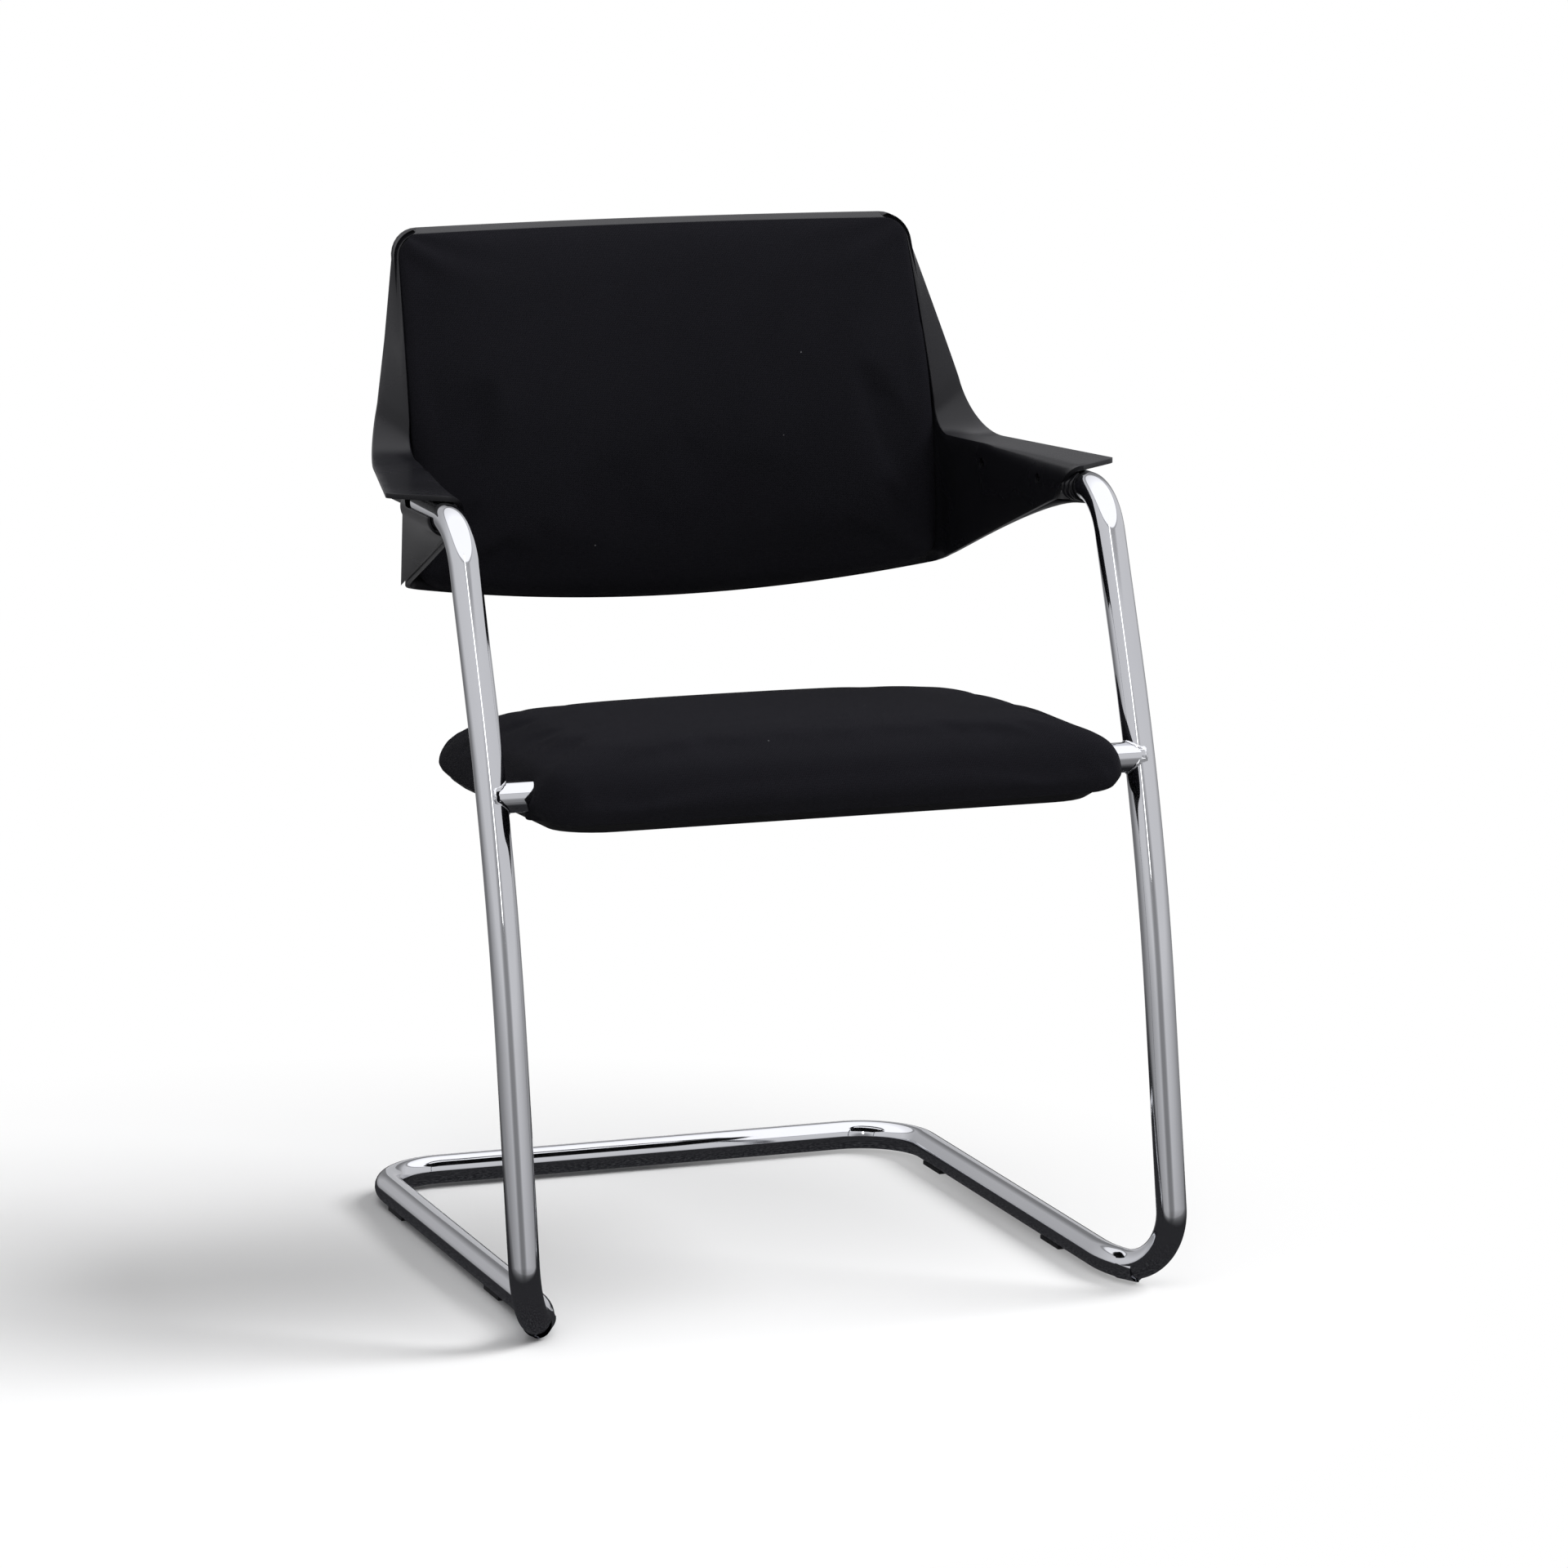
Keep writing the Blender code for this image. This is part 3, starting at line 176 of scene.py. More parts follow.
def cutWith(piece, cutter, operation="DIFFERENCE"):
    joint = piece.modifiers.new("cut", "BOOLEAN")
    joint.operation = operation
    joint.solver = "EXACT"
    joint.object = cutter
    applyAll(piece)
    bpy.data.objects.remove(cutter)


def settle(piece, material, slotName, *nodes):
    piece.data.materials.clear()
    piece.data.materials.append(material)
    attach(piece, "root")
    if nodes:
        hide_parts(*nodes)


# materials

def newMaterial(name):
    material = bpy.data.materials.new(name)
    material.use_nodes = True
    return material, material.node_tree, material.node_tree.nodes["Principled BSDF"]


def newGroup(name, inputs, outputs):
    group = bpy.data.node_groups.new(name, "ShaderNodeTree")
    for label, value in inputs:
        socket = group.interface.new_socket(label, in_out="INPUT", socket_type="NodeSocketFloat")
        socket.default_value = value
    for label in outputs:
        group.interface.new_socket(label, in_out="OUTPUT", socket_type="NodeSocketFloat")
    return group, group.nodes.new("NodeGroupInput"), group.nodes.new("NodeGroupOutput")


def mathNode(tree, operation, first, second=None, third=None):
    node = tree.nodes.new("ShaderNodeMath")
    node.operation = operation
    for socket, value in zip(node.inputs, (first, second, third)):
        if value is None:
            continue
        if isinstance(value, (int, float)):
            socket.default_value = value
        else:
            tree.links.new(value, socket)
    return node.outputs[0]


def noiseNode(tree, where, scale, detail=3.0, roughness=0.55):
    node = tree.nodes.new("ShaderNodeTexNoise")
    node.inputs["Detail"].default_value = detail
    node.inputs["Roughness"].default_value = roughness
    if isinstance(scale, (int, float)):
        node.inputs["Scale"].default_value = scale
    else:
        tree.links.new(scale, node.inputs["Scale"])
    tree.links.new(where, node.inputs["Vector"])
    return node.outputs["Fac"]


def spread(tree, value, low, high, fromLow=0.0, fromHigh=1.0):
    node = tree.nodes.new("ShaderNodeMapRange")
    for label, number in (("From Min", fromLow), ("From Max", fromHigh), ("To Min", low), ("To Max", high)):
        if isinstance(number, (int, float)):
            node.inputs[label].default_value = number
        else:
            tree.links.new(number, node.inputs[label])
    tree.links.new(value, node.inputs["Value"])
    return node.outputs["Result"]


def mixed(tree, share, first, second, blend="MIX"):
    # each of the three is a socket or a value; 0, 6 and 7 are the colour mix's own inputs
    node = tree.nodes.new("ShaderNodeMix")
    node.data_type = "RGBA"
    node.blend_type = blend
    for index, value in ((0, share), (6, first), (7, second)):
        if isinstance(value, bpy.types.NodeSocket):
            tree.links.new(value, node.inputs[index])
        else:
            node.inputs[index].default_value = value
    return node.outputs[2]


def twoTone(tree, value, dark, light):
    return mixed(tree, value, (*dark, 1), (*light, 1))


def vectorMath(tree, operation, first, second=None):
    node = tree.nodes.new("ShaderNodeVectorMath")
    node.operation = operation
    tree.links.new(first, node.inputs[0])
    if second is not None:
        node.inputs[1].default_value = second
    return node


def objectPlace(tree):
    return tree.nodes.new("ShaderNodeTexCoord").outputs["Object"]


def bumpFrom(tree, height, strength, distance):
    node = tree.nodes.new("ShaderNodeBump")
    node.inputs["Strength"].default_value = strength
    node.inputs["Distance"].default_value = distance
    tree.links.new(height, node.inputs["Height"])
    return node.outputs["Normal"]


def placed(tree, group, **values):
    node = tree.nodes.new("ShaderNodeGroup")
    node.node_tree = group
    for label, value in values.items():
        node.inputs[label].default_value = value
    return node.outputs


textures = {
    "grainPatch": 9.0, "grainDeep": 0.0003, "coarseScale": 0.37, "coarseShare": 0.6,
    "weavePitch": 0.0011, "weaveWander": 0.0009, "wanderScale": 45.0, "planeBlend": 4.0, "fibreScale": 2400.0,
    "chromeHaze": 7.0, "chromeSmear": 60.0, "chromeRough": (0.025, 0.085), "smearFrom": (0.1, 0.45),
    "chromeWave": 90.0, "chromeBump": 0.005, "bumpDeep": 0.0004, "middleTones": (0.3, 0.7),
    # the fabric's share of the weave's tone is painted shade in the hollows between threads, mixed with random fibre
    # tone
    "cloudScale": 26.0, "cloudTone": (0.04, 0.12), "fibreAndHollowShade": 0.9,
    "lintScale": 42.0, "lintSize": 0.028, "lintRare": 0.8,
    "fabricRough": (0.95, 0.8), "fabricBump": 0.55, "fabricSpecular": 0.06,
    "plyStretch": (60.0, 3.0, 420.0), "plyRough": (0.55, 0.75), "plyBump": 0.2,
}


# fine moulded or cast grain with slow patches over it
def makeGrain():
    group, inside, outside = newGroup("fineGrain", (("Scale", 900.0), ("Patch", 12.0)), ("Height", "Patches"))
    where = objectPlace(group)
    grain = noiseNode(group, where, inside.outputs["Scale"], 2.0)
    coarseScale = mathNode(group, "MULTIPLY", inside.outputs["Scale"], textures["coarseScale"])
    coarse = noiseNode(group, where, coarseScale, 2.0)
    height = mathNode(group, "MULTIPLY_ADD", coarse, textures["coarseShare"], grain)
    group.links.new(height, outside.inputs["Height"])
    group.links.new(noiseNode(group, where, inside.outputs["Patch"], 4.0), outside.inputs["Patches"])
    return group


# plain weave laid on the three main planes and blended by which way the cloth faces
def makeWeave():
    group, inside, outside = newGroup("plainWeave", (("Pitch", textures["weavePitch"]),), ("Height", "Tone"))
    where = objectPlace(group)
    wavy = group.nodes.new("ShaderNodeTexNoise")
    wavy.inputs["Scale"].default_value = textures["wanderScale"]
    group.links.new(where, wavy.inputs["Vector"])
    nudge = vectorMath(group, "MULTIPLY_ADD", wavy.outputs["Color"], [textures["weaveWander"]] * 3)
    group.links.new(where, nudge.inputs[2])
    parts = group.nodes.new("ShaderNodeSeparateXYZ")
    group.links.new(nudge.outputs[0], parts.inputs[0])
    threads = [mathNode(group, "DIVIDE", part, inside.outputs["Pitch"]) for part in parts.outputs]

    def hump(thread):
        return mathNode(group, "ABSOLUTE", mathNode(group, "SINE", mathNode(group, "MULTIPLY", thread, math.pi)))

    def crossing(warp, weft):
        over, under = hump(warp), hump(weft)
        cells = mathNode(group, "ADD", mathNode(group, "FLOOR", warp), mathNode(group, "FLOOR", weft))
        odd = mathNode(group, "FRACT", mathNode(group, "MULTIPLY", cells, 0.5))
        turn = mathNode(group, "GREATER_THAN", odd, 0.25)
        keep = mathNode(group, "SUBTRACT", 1.0, turn)
        return mathNode(group, "MULTIPLY_ADD", over, turn, mathNode(group, "MULTIPLY", under, keep))

    normal = group.nodes.new("ShaderNodeSeparateXYZ")
    group.links.new(group.nodes.new("ShaderNodeTexCoord").outputs["Normal"], normal.inputs[0])
    sides = [mathNode(group, "ABSOLUTE", part) for part in normal.outputs]
    shares = [mathNode(group, "POWER", part, textures["planeBlend"]) for part in sides]
    whole = mathNode(group, "ADD", mathNode(group, "ADD", shares[0], shares[1]), shares[2])
    planes = [crossing(threads[1], threads[2]), crossing(threads[0], threads[2]), crossing(threads[0], threads[1])]
    height = mathNode(group, "MULTIPLY", planes[0], mathNode(group, "DIVIDE", shares[0], whole))
    for plane, share in zip(planes[1:], shares[1:]):
        height = mathNode(group, "MULTIPLY_ADD", plane, mathNode(group, "DIVIDE", share, whole), height)
    group.links.new(height, outside.inputs["Height"])
    # the tone is a random fibre tone times the thread height, so it paints shade: darker in the hollows between
    # threads, lighter on the thread crests
    fibre = noiseNode(group, where, textures["fibreScale"], 1.0)
    group.links.new(mathNode(group, "MULTIPLY", fibre, height), outside.inputs["Tone"])
    return group


grainGroup = makeGrain()
weaveGroup = makeWeave()

finishes = {
    "chromeDark": (0.53, 0.54, 0.56), "chromeLight": (0.61, 0.615, 0.63),
    "fabricDark": (0.0041, 0.0040, 0.0052), "fabricLight": (0.0122, 0.0120, 0.0156), "lint": (0.10, 0.10, 0.105),
    "plasticDark": (0.0048, 0.0048, 0.0060), "plasticLight": (0.0080, 0.0080, 0.0098),
    "panDark": (0.0040, 0.0040, 0.0048), "panLight": (0.0075, 0.0075, 0.0088),
    "boltDark": (0.030, 0.030, 0.032), "boltLight": (0.075, 0.075, 0.080),
    "nylonDark": (0.008, 0.008, 0.009), "nylonLight": (0.016, 0.016, 0.018),
    "zincDark": (0.34, 0.34, 0.35), "zincLight": (0.52, 0.52, 0.54),
    "steelDark": (0.010, 0.010, 0.011), "steelLight": (0.022, 0.022, 0.024),
    "plyDark": (0.36, 0.23, 0.12), "plyLight": (0.60, 0.43, 0.26),
}


def makeChrome():
    material, tree, shader = newMaterial("chromeTube")
    where = objectPlace(tree)
    haze = noiseNode(tree, where, textures["chromeHaze"], 5.0)
    smear = noiseNode(tree, where, textures["chromeSmear"], 2.0)
    tree.links.new(twoTone(tree, haze, finishes["chromeDark"], finishes["chromeLight"]), shader.inputs["Base Color"])
    streaks = mathNode(tree, "MULTIPLY", haze, smear)
    rough = spread(tree, streaks, *textures["chromeRough"], *textures["smearFrom"])
    tree.links.new(rough, shader.inputs["Roughness"])
    wave = noiseNode(tree, where, textures["chromeWave"], 2.0)
    tree.links.new(bumpFrom(tree, wave, textures["chromeBump"], textures["bumpDeep"]), shader.inputs["Normal"])
    shader.inputs["Metallic"].default_value = 1.0
    return material


def makeFabric():
    material, tree, shader = newMaterial("blackFabric")
    where = objectPlace(tree)
    weave = placed(tree, weaveGroup, Pitch=textures["weavePitch"])
    cloud = noiseNode(tree, where, textures["cloudScale"], 5.0)
    cloudTone = spread(tree, cloud, *textures["cloudTone"], *textures["middleTones"])
    # the weave's tone adds painted shade in the hollows between threads, with random fibre tone, to the random cloud
    # tone
    tone = mathNode(tree, "MULTIPLY_ADD", weave["Tone"], textures["fibreAndHollowShade"], cloudTone)
    cloth = twoTone(tree, tone, finishes["fabricDark"], finishes["fabricLight"])
    # a few specks of lint caught in the threads
    cells = tree.nodes.new("ShaderNodeTexVoronoi")
    cells.inputs["Scale"].default_value = textures["lintScale"]
    tree.links.new(where, cells.inputs["Vector"])
    near = mathNode(tree, "LESS_THAN", cells.outputs["Distance"], textures["lintSize"])
    pickOne = tree.nodes.new("ShaderNodeSeparateColor")
    tree.links.new(cells.outputs["Color"], pickOne.inputs[0])
    rare = mathNode(tree, "GREATER_THAN", pickOne.outputs[0], textures["lintRare"])
    speckled = mixed(tree, mathNode(tree, "MULTIPLY", near, rare), cloth, (*finishes["lint"], 1))
    tree.links.new(speckled, shader.inputs["Base Color"])
    tree.links.new(spread(tree, weave["Height"], *textures["fabricRough"]), shader.inputs["Roughness"])
    threads = bumpFrom(tree, weave["Height"], textures["fabricBump"], textures["bumpDeep"])
    tree.links.new(threads, shader.inputs["Normal"])
    shader.inputs["Specular IOR Level"].default_value = textures["fabricSpecular"]
    return material


def makeGrained(name, dark, light, scale, depth, rough, metallic=0.0, specular=0.5):
    material, tree, shader = newMaterial(name)
    grain = placed(tree, grainGroup, Scale=scale, Patch=textures["grainPatch"])
    tree.links.new(twoTone(tree, grain["Patches"], finishes[dark], finishes[light]), shader.inputs["Base Color"])
    sheen = spread(tree, grain["Patches"], *rough, *textures["middleTones"])
    tree.links.new(sheen, shader.inputs["Roughness"])
    tree.links.new(bumpFrom(tree, grain["Height"], depth, textures["grainDeep"]), shader.inputs["Normal"])
    shader.inputs["Metallic"].default_value = metallic
    shader.inputs["Specular IOR Level"].default_value = specular
    return material


def makePlywood():
    material, tree, shader = newMaterial("plywood")
    where = objectPlace(tree)
    stretch = tree.nodes.new("ShaderNodeMapping")
    stretch.inputs["Scale"].default_value = textures["plyStretch"]
    tree.links.new(where, stretch.inputs["Vector"])
    figure = noiseNode(tree, stretch.outputs[0], 1.0, 6.0)
    tree.links.new(twoTone(tree, figure, finishes["plyDark"], finishes["plyLight"]), shader.inputs["Base Color"])
    tree.links.new(spread(tree, figure, *textures["plyRough"]), shader.inputs["Roughness"])
    tree.links.new(bumpFrom(tree, figure, textures["plyBump"], textures["bumpDeep"]), shader.inputs["Normal"])
    return material


chrome = makeChrome()
fabric = makeFabric()
shellPlastic = makeGrained(
    "shellPlastic", "plasticDark", "plasticLight", scale=1500.0, depth=0.20, rough=(0.24, 0.31), specular=0.28
)
panPlastic = makeGrained(
    "panPlastic", "panDark", "panLight", scale=1100.0, depth=0.25, rough=(0.55, 0.68), specular=0.2
)
nylon = makeGrained("darkNylon", "nylonDark", "nylonLight", scale=1300.0, depth=0.15, rough=(0.45, 0.55))
zinc = makeGrained("zincFixings", "zincDark", "zincLight", scale=700.0, depth=0.10, rough=(0.25, 0.42), metallic=1.0)
blackZinc = makeGrained(
    "blackZincFixings", "boltDark", "boltLight", scale=700.0, depth=0.10, rough=(0.30, 0.45), metallic=1.0
)
blackSteel = makeGrained("blackSteel", "steelDark", "steelLight", scale=900.0, depth=0.20, rough=(0.38, 0.50))
plywood = makePlywood()
print("materials made")


# sled frame: one ring drawn along the straights and spun round the bends

def frameCorners():
    kneeY = -tube["depth"] + math.tan(math.radians(tube["lowerLean"])) * (tube["kneeZ"] - tube["floorLine"])
    cornerY = kneeY + math.tan(math.radians(tube["upperLean"])) * (tube["armZ"] - tube["kneeZ"])
    low = tube["floorLine"]
    return [
        chair(0, 0, low),
        chair(tube["runnerX"], 0, low),
        chair(tube["runnerX"], tube["flare"] - tube["depth"], low),
        chair(tube["uprightX"], -tube["depth"], low),
        chair(tube["uprightX"], kneeY, tube["kneeZ"]),
        chair(tube["uprightX"], cornerY, tube["armZ"]),
        chair(tube["uprightX"], cornerY + tube["armRun"], tube["armZ"]),
    ]


corners = frameCorners()
armCornerY = corners[5].y - rearY


def drawRing(corners, bends):
    at = corners[0]
    path = [at]
    for before, corner, after, bend in zip(corners, corners[1:], corners[2:], bends):
        back = (before - corner).normalized()
        ahead = (after - corner).normalized()
        half = back.angle(ahead) / 2
        reach = bend / math.tan(half)
        centre = corner + (back + ahead).normalized() * (bend / math.sin(half))
        begin, end = corner + back * reach, corner + ahead * reach
        turn = math.pi - 2 * half
        axis = (begin - centre).cross(end - centre).normalized()
        steps = max(4, math.ceil(turn / math.radians(tube["bendStep"])), math.ceil(turn * bend / tube["longestStep"]))
        bpy.ops.mesh.extrude_edges_move(TRANSFORM_OT_translate={"value": begin - at})
        bpy.ops.mesh.spin(steps=steps, angle=-turn, center=centre, axis=axis)
        spoke = begin - centre
        path += [centre + Matrix.Rotation(turn * k / steps, 3, axis) @ spoke for k in range(steps + 1)]
        at = end
    bpy.ops.mesh.extrude_edges_move(TRANSFORM_OT_translate={"value": corners[-1] - at})
    return path + [corners[-1]]


def makeSledFrame():
    deselectAll()
    bpy.ops.mesh.primitive_circle_add(
        vertices=tube["sides"], radius=tube["radius"], location=corners[0], rotation=alongX
    )
    piece = started("sledTube")
    editAll(piece)
    path = drawRing(corners, tube["bends"])
    editDone()
    mirrorX(piece)
    mergeAndFace(piece)
    topFace = max(piece.data.polygons, key=lambda face: face.center.z - abs(face.center.x - tube["uprightX"]))
    if topFace.normal.z < 0:
        flipFaces(piece)
    addWall(piece, tube["wall"])
    applyAll(piece)
    smoothed(piece)
    settle(piece, chrome, "chrome_tube", "sled_frame")
    return path


framePath = makeSledFrame()


def uprightAt(height):
    for low, high in zip(framePath, framePath[1:]):
        if low.z <= height <= high.z and high.z > low.z:
            return low.lerp(high, (height - low.z) / (high.z - low.z)), (high - low).normalized()


crossCentre, uprightWay = uprightAt(tube["crossZ"])


# cross tube, coped round the uprights and welded
def makeCrossTube():
    deselectAll()
    bpy.ops.mesh.primitive_cylinder_add(
        vertices=tube["sides"], radius=tube["radius"], depth=2 * tube["uprightX"], end_fill_type="NOTHING",
        location=(0, crossCentre.y, tube["crossZ"]), rotation=alongX,
    )
    piece = started("seatCrossTube")
    addWall(piece, tube["crossWall"])
    applyAll(piece)
    turn = Vector((0, 0, 1)).rotation_difference(uprightWay).to_euler()
    for side in (-1, 1):
        place = (side * tube["uprightX"], crossCentre.y, tube["crossZ"])
        cutWith(piece, cylinder("cope", tube["radius"] + tube["copeGap"], 0.2, place, turn, tube["copeSides"]))
    smoothed(piece)
    settle(piece, chrome, "chrome_tube", "seat_cross_tube")


# a bead of weld round each end of the cross tube, following the upright's round
def makeWelds():
    for side, label in ((-1, "left"), (1, "right")):
        deselectAll()
        bpy.ops.mesh.primitive_torus_add(
            major_segments=weld["around"], minor_segments=weld["sides"],
            major_radius=tube["radius"], minor_radius=weld["thickness"],
            location=(side * tube["uprightX"], crossCentre.y, tube["crossZ"]), rotation=alongX,
        )
        piece = started("weldBead_" + label)
        middle = Vector((0, crossCentre.y, tube["crossZ"]))
        flat = Vector((0, uprightWay.y, uprightWay.z))
        for spot in piece.data.vertices:
            across = spot.co - middle
            across.x = 0
            off = across - flat * across.dot(flat)  # how far beside the upright's centre line
            depth = math.sqrt(max(0.0, tube["radius"] ** 2 - off.length_squared))
            spot.co.x -= side * (depth - weld["sunk"])
            spot.co.x += side * weld["ripple"] * math.sin(across.angle(flat) * weld["ripples"])
        smoothed(piece, 60)
        settle(piece, chrome, "chrome_tube")


makeCrossTube()
makeWelds()
print("frame, cross tube and welds made")


# back shell: a shallow tray, the band round it, the arm flanges and the wings below them
shell = {
    "wall": 0.004, "top": 0.838, "bottom": 0.543, "bottomDrop": 0.021, "bottomWidth": 0.480, "topWidth": 0.453,
    "frontY": armCornerY + 0.265, "lean": 22.3, "kneeZ": 0.665, "kneeSoft": 0.060, "hollow": 0.020,
    "tray": 0.010, "lip": 0.0045, "innerCorner": 0.020, "outerCorner": 0.025,
    "flareSlope": 0.237, "setbackSlope": 0.06,
    "flangeTop": tube["armZ"] + tube["radius"] + 0.0006 + 0.004,
    "tipX": tube["uprightX"] + 0.0385, "tipY": armCornerY + 0.077, "noseY": armCornerY + 0.039,
    "tipRound": 0.008, "flangeBend": 0.026, "edgeBend": 0.060,
    "wingEndY": armCornerY + 0.051, "wingFrontX": tube["uprightX"] - tube["radius"] - 0.002 - 0.004,
    "wingSlope": 0.373, "wingStart": 0.012, "chin": 0.012, "chinSlope": 0.8,
    "columns": 28, "underRows": 12, "bendRows": 14, "straightRows": 18, "cornerRows": 8, "bandCuts": 5,
    "wingCuts": 12, "chinCuts": (0.35, 0.7), "foldFront": 0.0145, "foldRows": 6, "foldBy": 0.85, "foldStations": 4,
    "noseAhead": 0.004, "noseBack": 0.002, "tipCuts": 5,
    "trayRim": 0.0022, "trayRimCuts": 4, "trayRimRows": 10,
    "rollColumns": 7, "trayRoll": 0.0025, "wingRoll": 0.014, "rollBelow": 0.02, "rollOver": 0.07,
    "rimRound": 0.0012, "rimAngle": 38, "rimCuts": 3, "smoothAngle": 42,
    "screwYs": (armCornerY + 0.092, armCornerY + 0.194), "screwSunk": 0.0036, "screwHole": 0.0048, "shankHole": 0.0028,
    "bossEnds": (tube["uprightX"] - tube["radius"] - 0.0003, tube["uprightX"] - 0.0143), "boss": 0.008,
    "clipX": 0.140, "clipRises": (0.047, 0.197, 0.252), "clipHole": 0.0035, "clipSides": 32,
    "drillPast": 0.02, "drillSides": 40,
}


def eased(share):
    share = max(0.0, min(1.0, share))
    return share * share * (3 - 2 * share)


def backLine(z):
    over = z - shell["kneeZ"]
    return shell["frontY"] + math.tan(math.radians(shell["lean"])) * (math.hypot(over, shell["kneeSoft"]) + over) / 2


def backHalf(z):
    rise = (z - shell["bottom"]) / (shell["top"] - shell["bottom"])
    return (shell["bottomWidth"] + (shell["topWidth"] - shell["bottomWidth"]) * rise) / 2


def panelPoint(x, z):
    hollow = shell["hollow"] * (1 - (x / backHalf(z)) ** 2)
    return chair(x, backLine(z) + shell["tray"] + hollow, z)


def rollAt(z):
    # how wide the panel's edge rolls forwards: wide beside the wings, less in the tray
    share = eased((z - shell["flangeTop"] + shell["rollBelow"]) / shell["rollOver"])
    return shell["wingRoll"] + (shell["trayRoll"] - shell["wingRoll"]) * share


def rollLift(inside, z):
    roll = rollAt(z)
    over = max(0.0, roll - inside)
    return roll - math.sqrt(max(0.0, roll**2 - over**2))


def panelNormal(x, z):
    step = 1e-4
    across = panelPoint(x + step, z) - panelPoint(x - step, z)
    up = panelPoint(x, z + step) - panelPoint(x, z - step)
    return across.cross(up).normalized()


def edgePoint(z):
    return chair(backHalf(z), backLine(z), z)


def sidePoint(z):
    x = backHalf(shell["top"]) + shell["flareSlope"] * (shell["top"] - z)
    return chair(x, backLine(z) + shell["setbackSlope"] * (z - shell["kneeZ"]), z)


def wingX(y, z):
    start = backLine(shell["flangeTop"])
    share = (start - y) / (start - shell["wingEndY"])
    return backHalf(z) + (shell["wingFrontX"] - backHalf(z)) * share


def bendPoints(first, corner, last, radius, count):
    back = (first - corner).normalized()
    ahead = (last - corner).normalized()
    half = back.angle(ahead) / 2
    centre = corner + (back + ahead).normalized() * (radius / math.sin(half))
    spoke = corner + back * (radius / math.tan(half)) - centre
    end = corner + ahead * (radius / math.tan(half)) - centre
    turn = math.pi - 2 * half
    return [centre + Matrix.Rotation(turn * k / count, 3, spoke.cross(end)) @ spoke for k in range(count + 1)]


def shellRows():
    # every row from the bottom edge up: its height, half width, and the band's inner and outer point beside it
    top, flangeTop = shell["top"], shell["flangeTop"]
    rows = []
    for k in range(shell["underRows"]):
        z = shell["bottom"] + (flangeTop - shell["bottom"]) * k / shell["underRows"]
        rows.append((z, backHalf(z), None, None))
    above = flangeTop + shell["edgeBend"]
    nose = chair(wingX(shell["noseY"], flangeTop), shell["noseY"], flangeTop)
    tip = chair(shell["tipX"], shell["tipY"], flangeTop)
    inner = bendPoints(edgePoint(above), edgePoint(flangeTop), nose, shell["flangeBend"], shell["bendRows"])
    outer = bendPoints(sidePoint(above), sidePoint(flangeTop), tip, shell["edgeBend"], shell["bendRows"])
    for near, far in zip(reversed(inner), reversed(outer)):
        rows.append((near.z, backHalf(near.z), near, far))
    cornerZ = top - shell["lip"] - shell["innerCorner"]
    for k in range(1, shell["straightRows"]):
        z = inner[0].z + (cornerZ - inner[0].z) * k / shell["straightRows"]
        farZ = outer[0].z + (top - shell["outerCorner"] - outer[0].z) * k / shell["straightRows"]
        rows.append((z, backHalf(z), edgePoint(z), sidePoint(farZ)))
    for k in range(shell["cornerRows"] + 1):
        turn = math.radians(90) * k / shell["cornerRows"]
        z = cornerZ + shell["innerCorner"] * math.sin(turn)
        half = backHalf(cornerZ) - shell["innerCorner"] * (1 - math.cos(turn))
        outerZ = top - shell["outerCorner"] * (1 - math.sin(turn))
        outerX = sidePoint(top - shell["outerCorner"]).x - shell["outerCorner"] * (1 - math.cos(turn))
        far = sidePoint(outerZ)
        far.x = outerX
        rows.append((z, half, panelPoint(half, z) - Vector((0, shell["tray"], 0)), far))
    return rows, nose, tip


def trayRim(rows, row):
    # the rounded edge between the tray's wall and the band
    z, half, near, far = rows[row]
    first, last = shell["underRows"], len(rows) - 1
    reach = shell["trayRim"] * eased((row - first) / shell["trayRimRows"]) * eased((last - row) / shell["cornerRows"])
    if reach < mergeGap:
        return [near] * (shell["trayRimCuts"] + 1)
    foot = near + Vector((0, shell["tray"], 0))
    corner = (foot - near).angle(far - near) / 2
    return bendPoints(foot, near, far, reach * math.tan(corner), shell["trayRimCuts"])


def wingLow(y):
    rise = (backLine(shell["bottom"]) + shell["wingStart"] - y) * shell["wingSlope"]
    chin = max(0.0, shell["wingEndY"] + shell["chin"] - y) * shell["chinSlope"]
    return shell["bottom"] + max(0.0, rise) + chin


def foldAt(y, startY):
    # how far the fold between flange and wing opens round the tube
    return shell["foldFront"] * eased((startY - y) / (startY - shell["wingEndY"]) / shell["foldBy"])


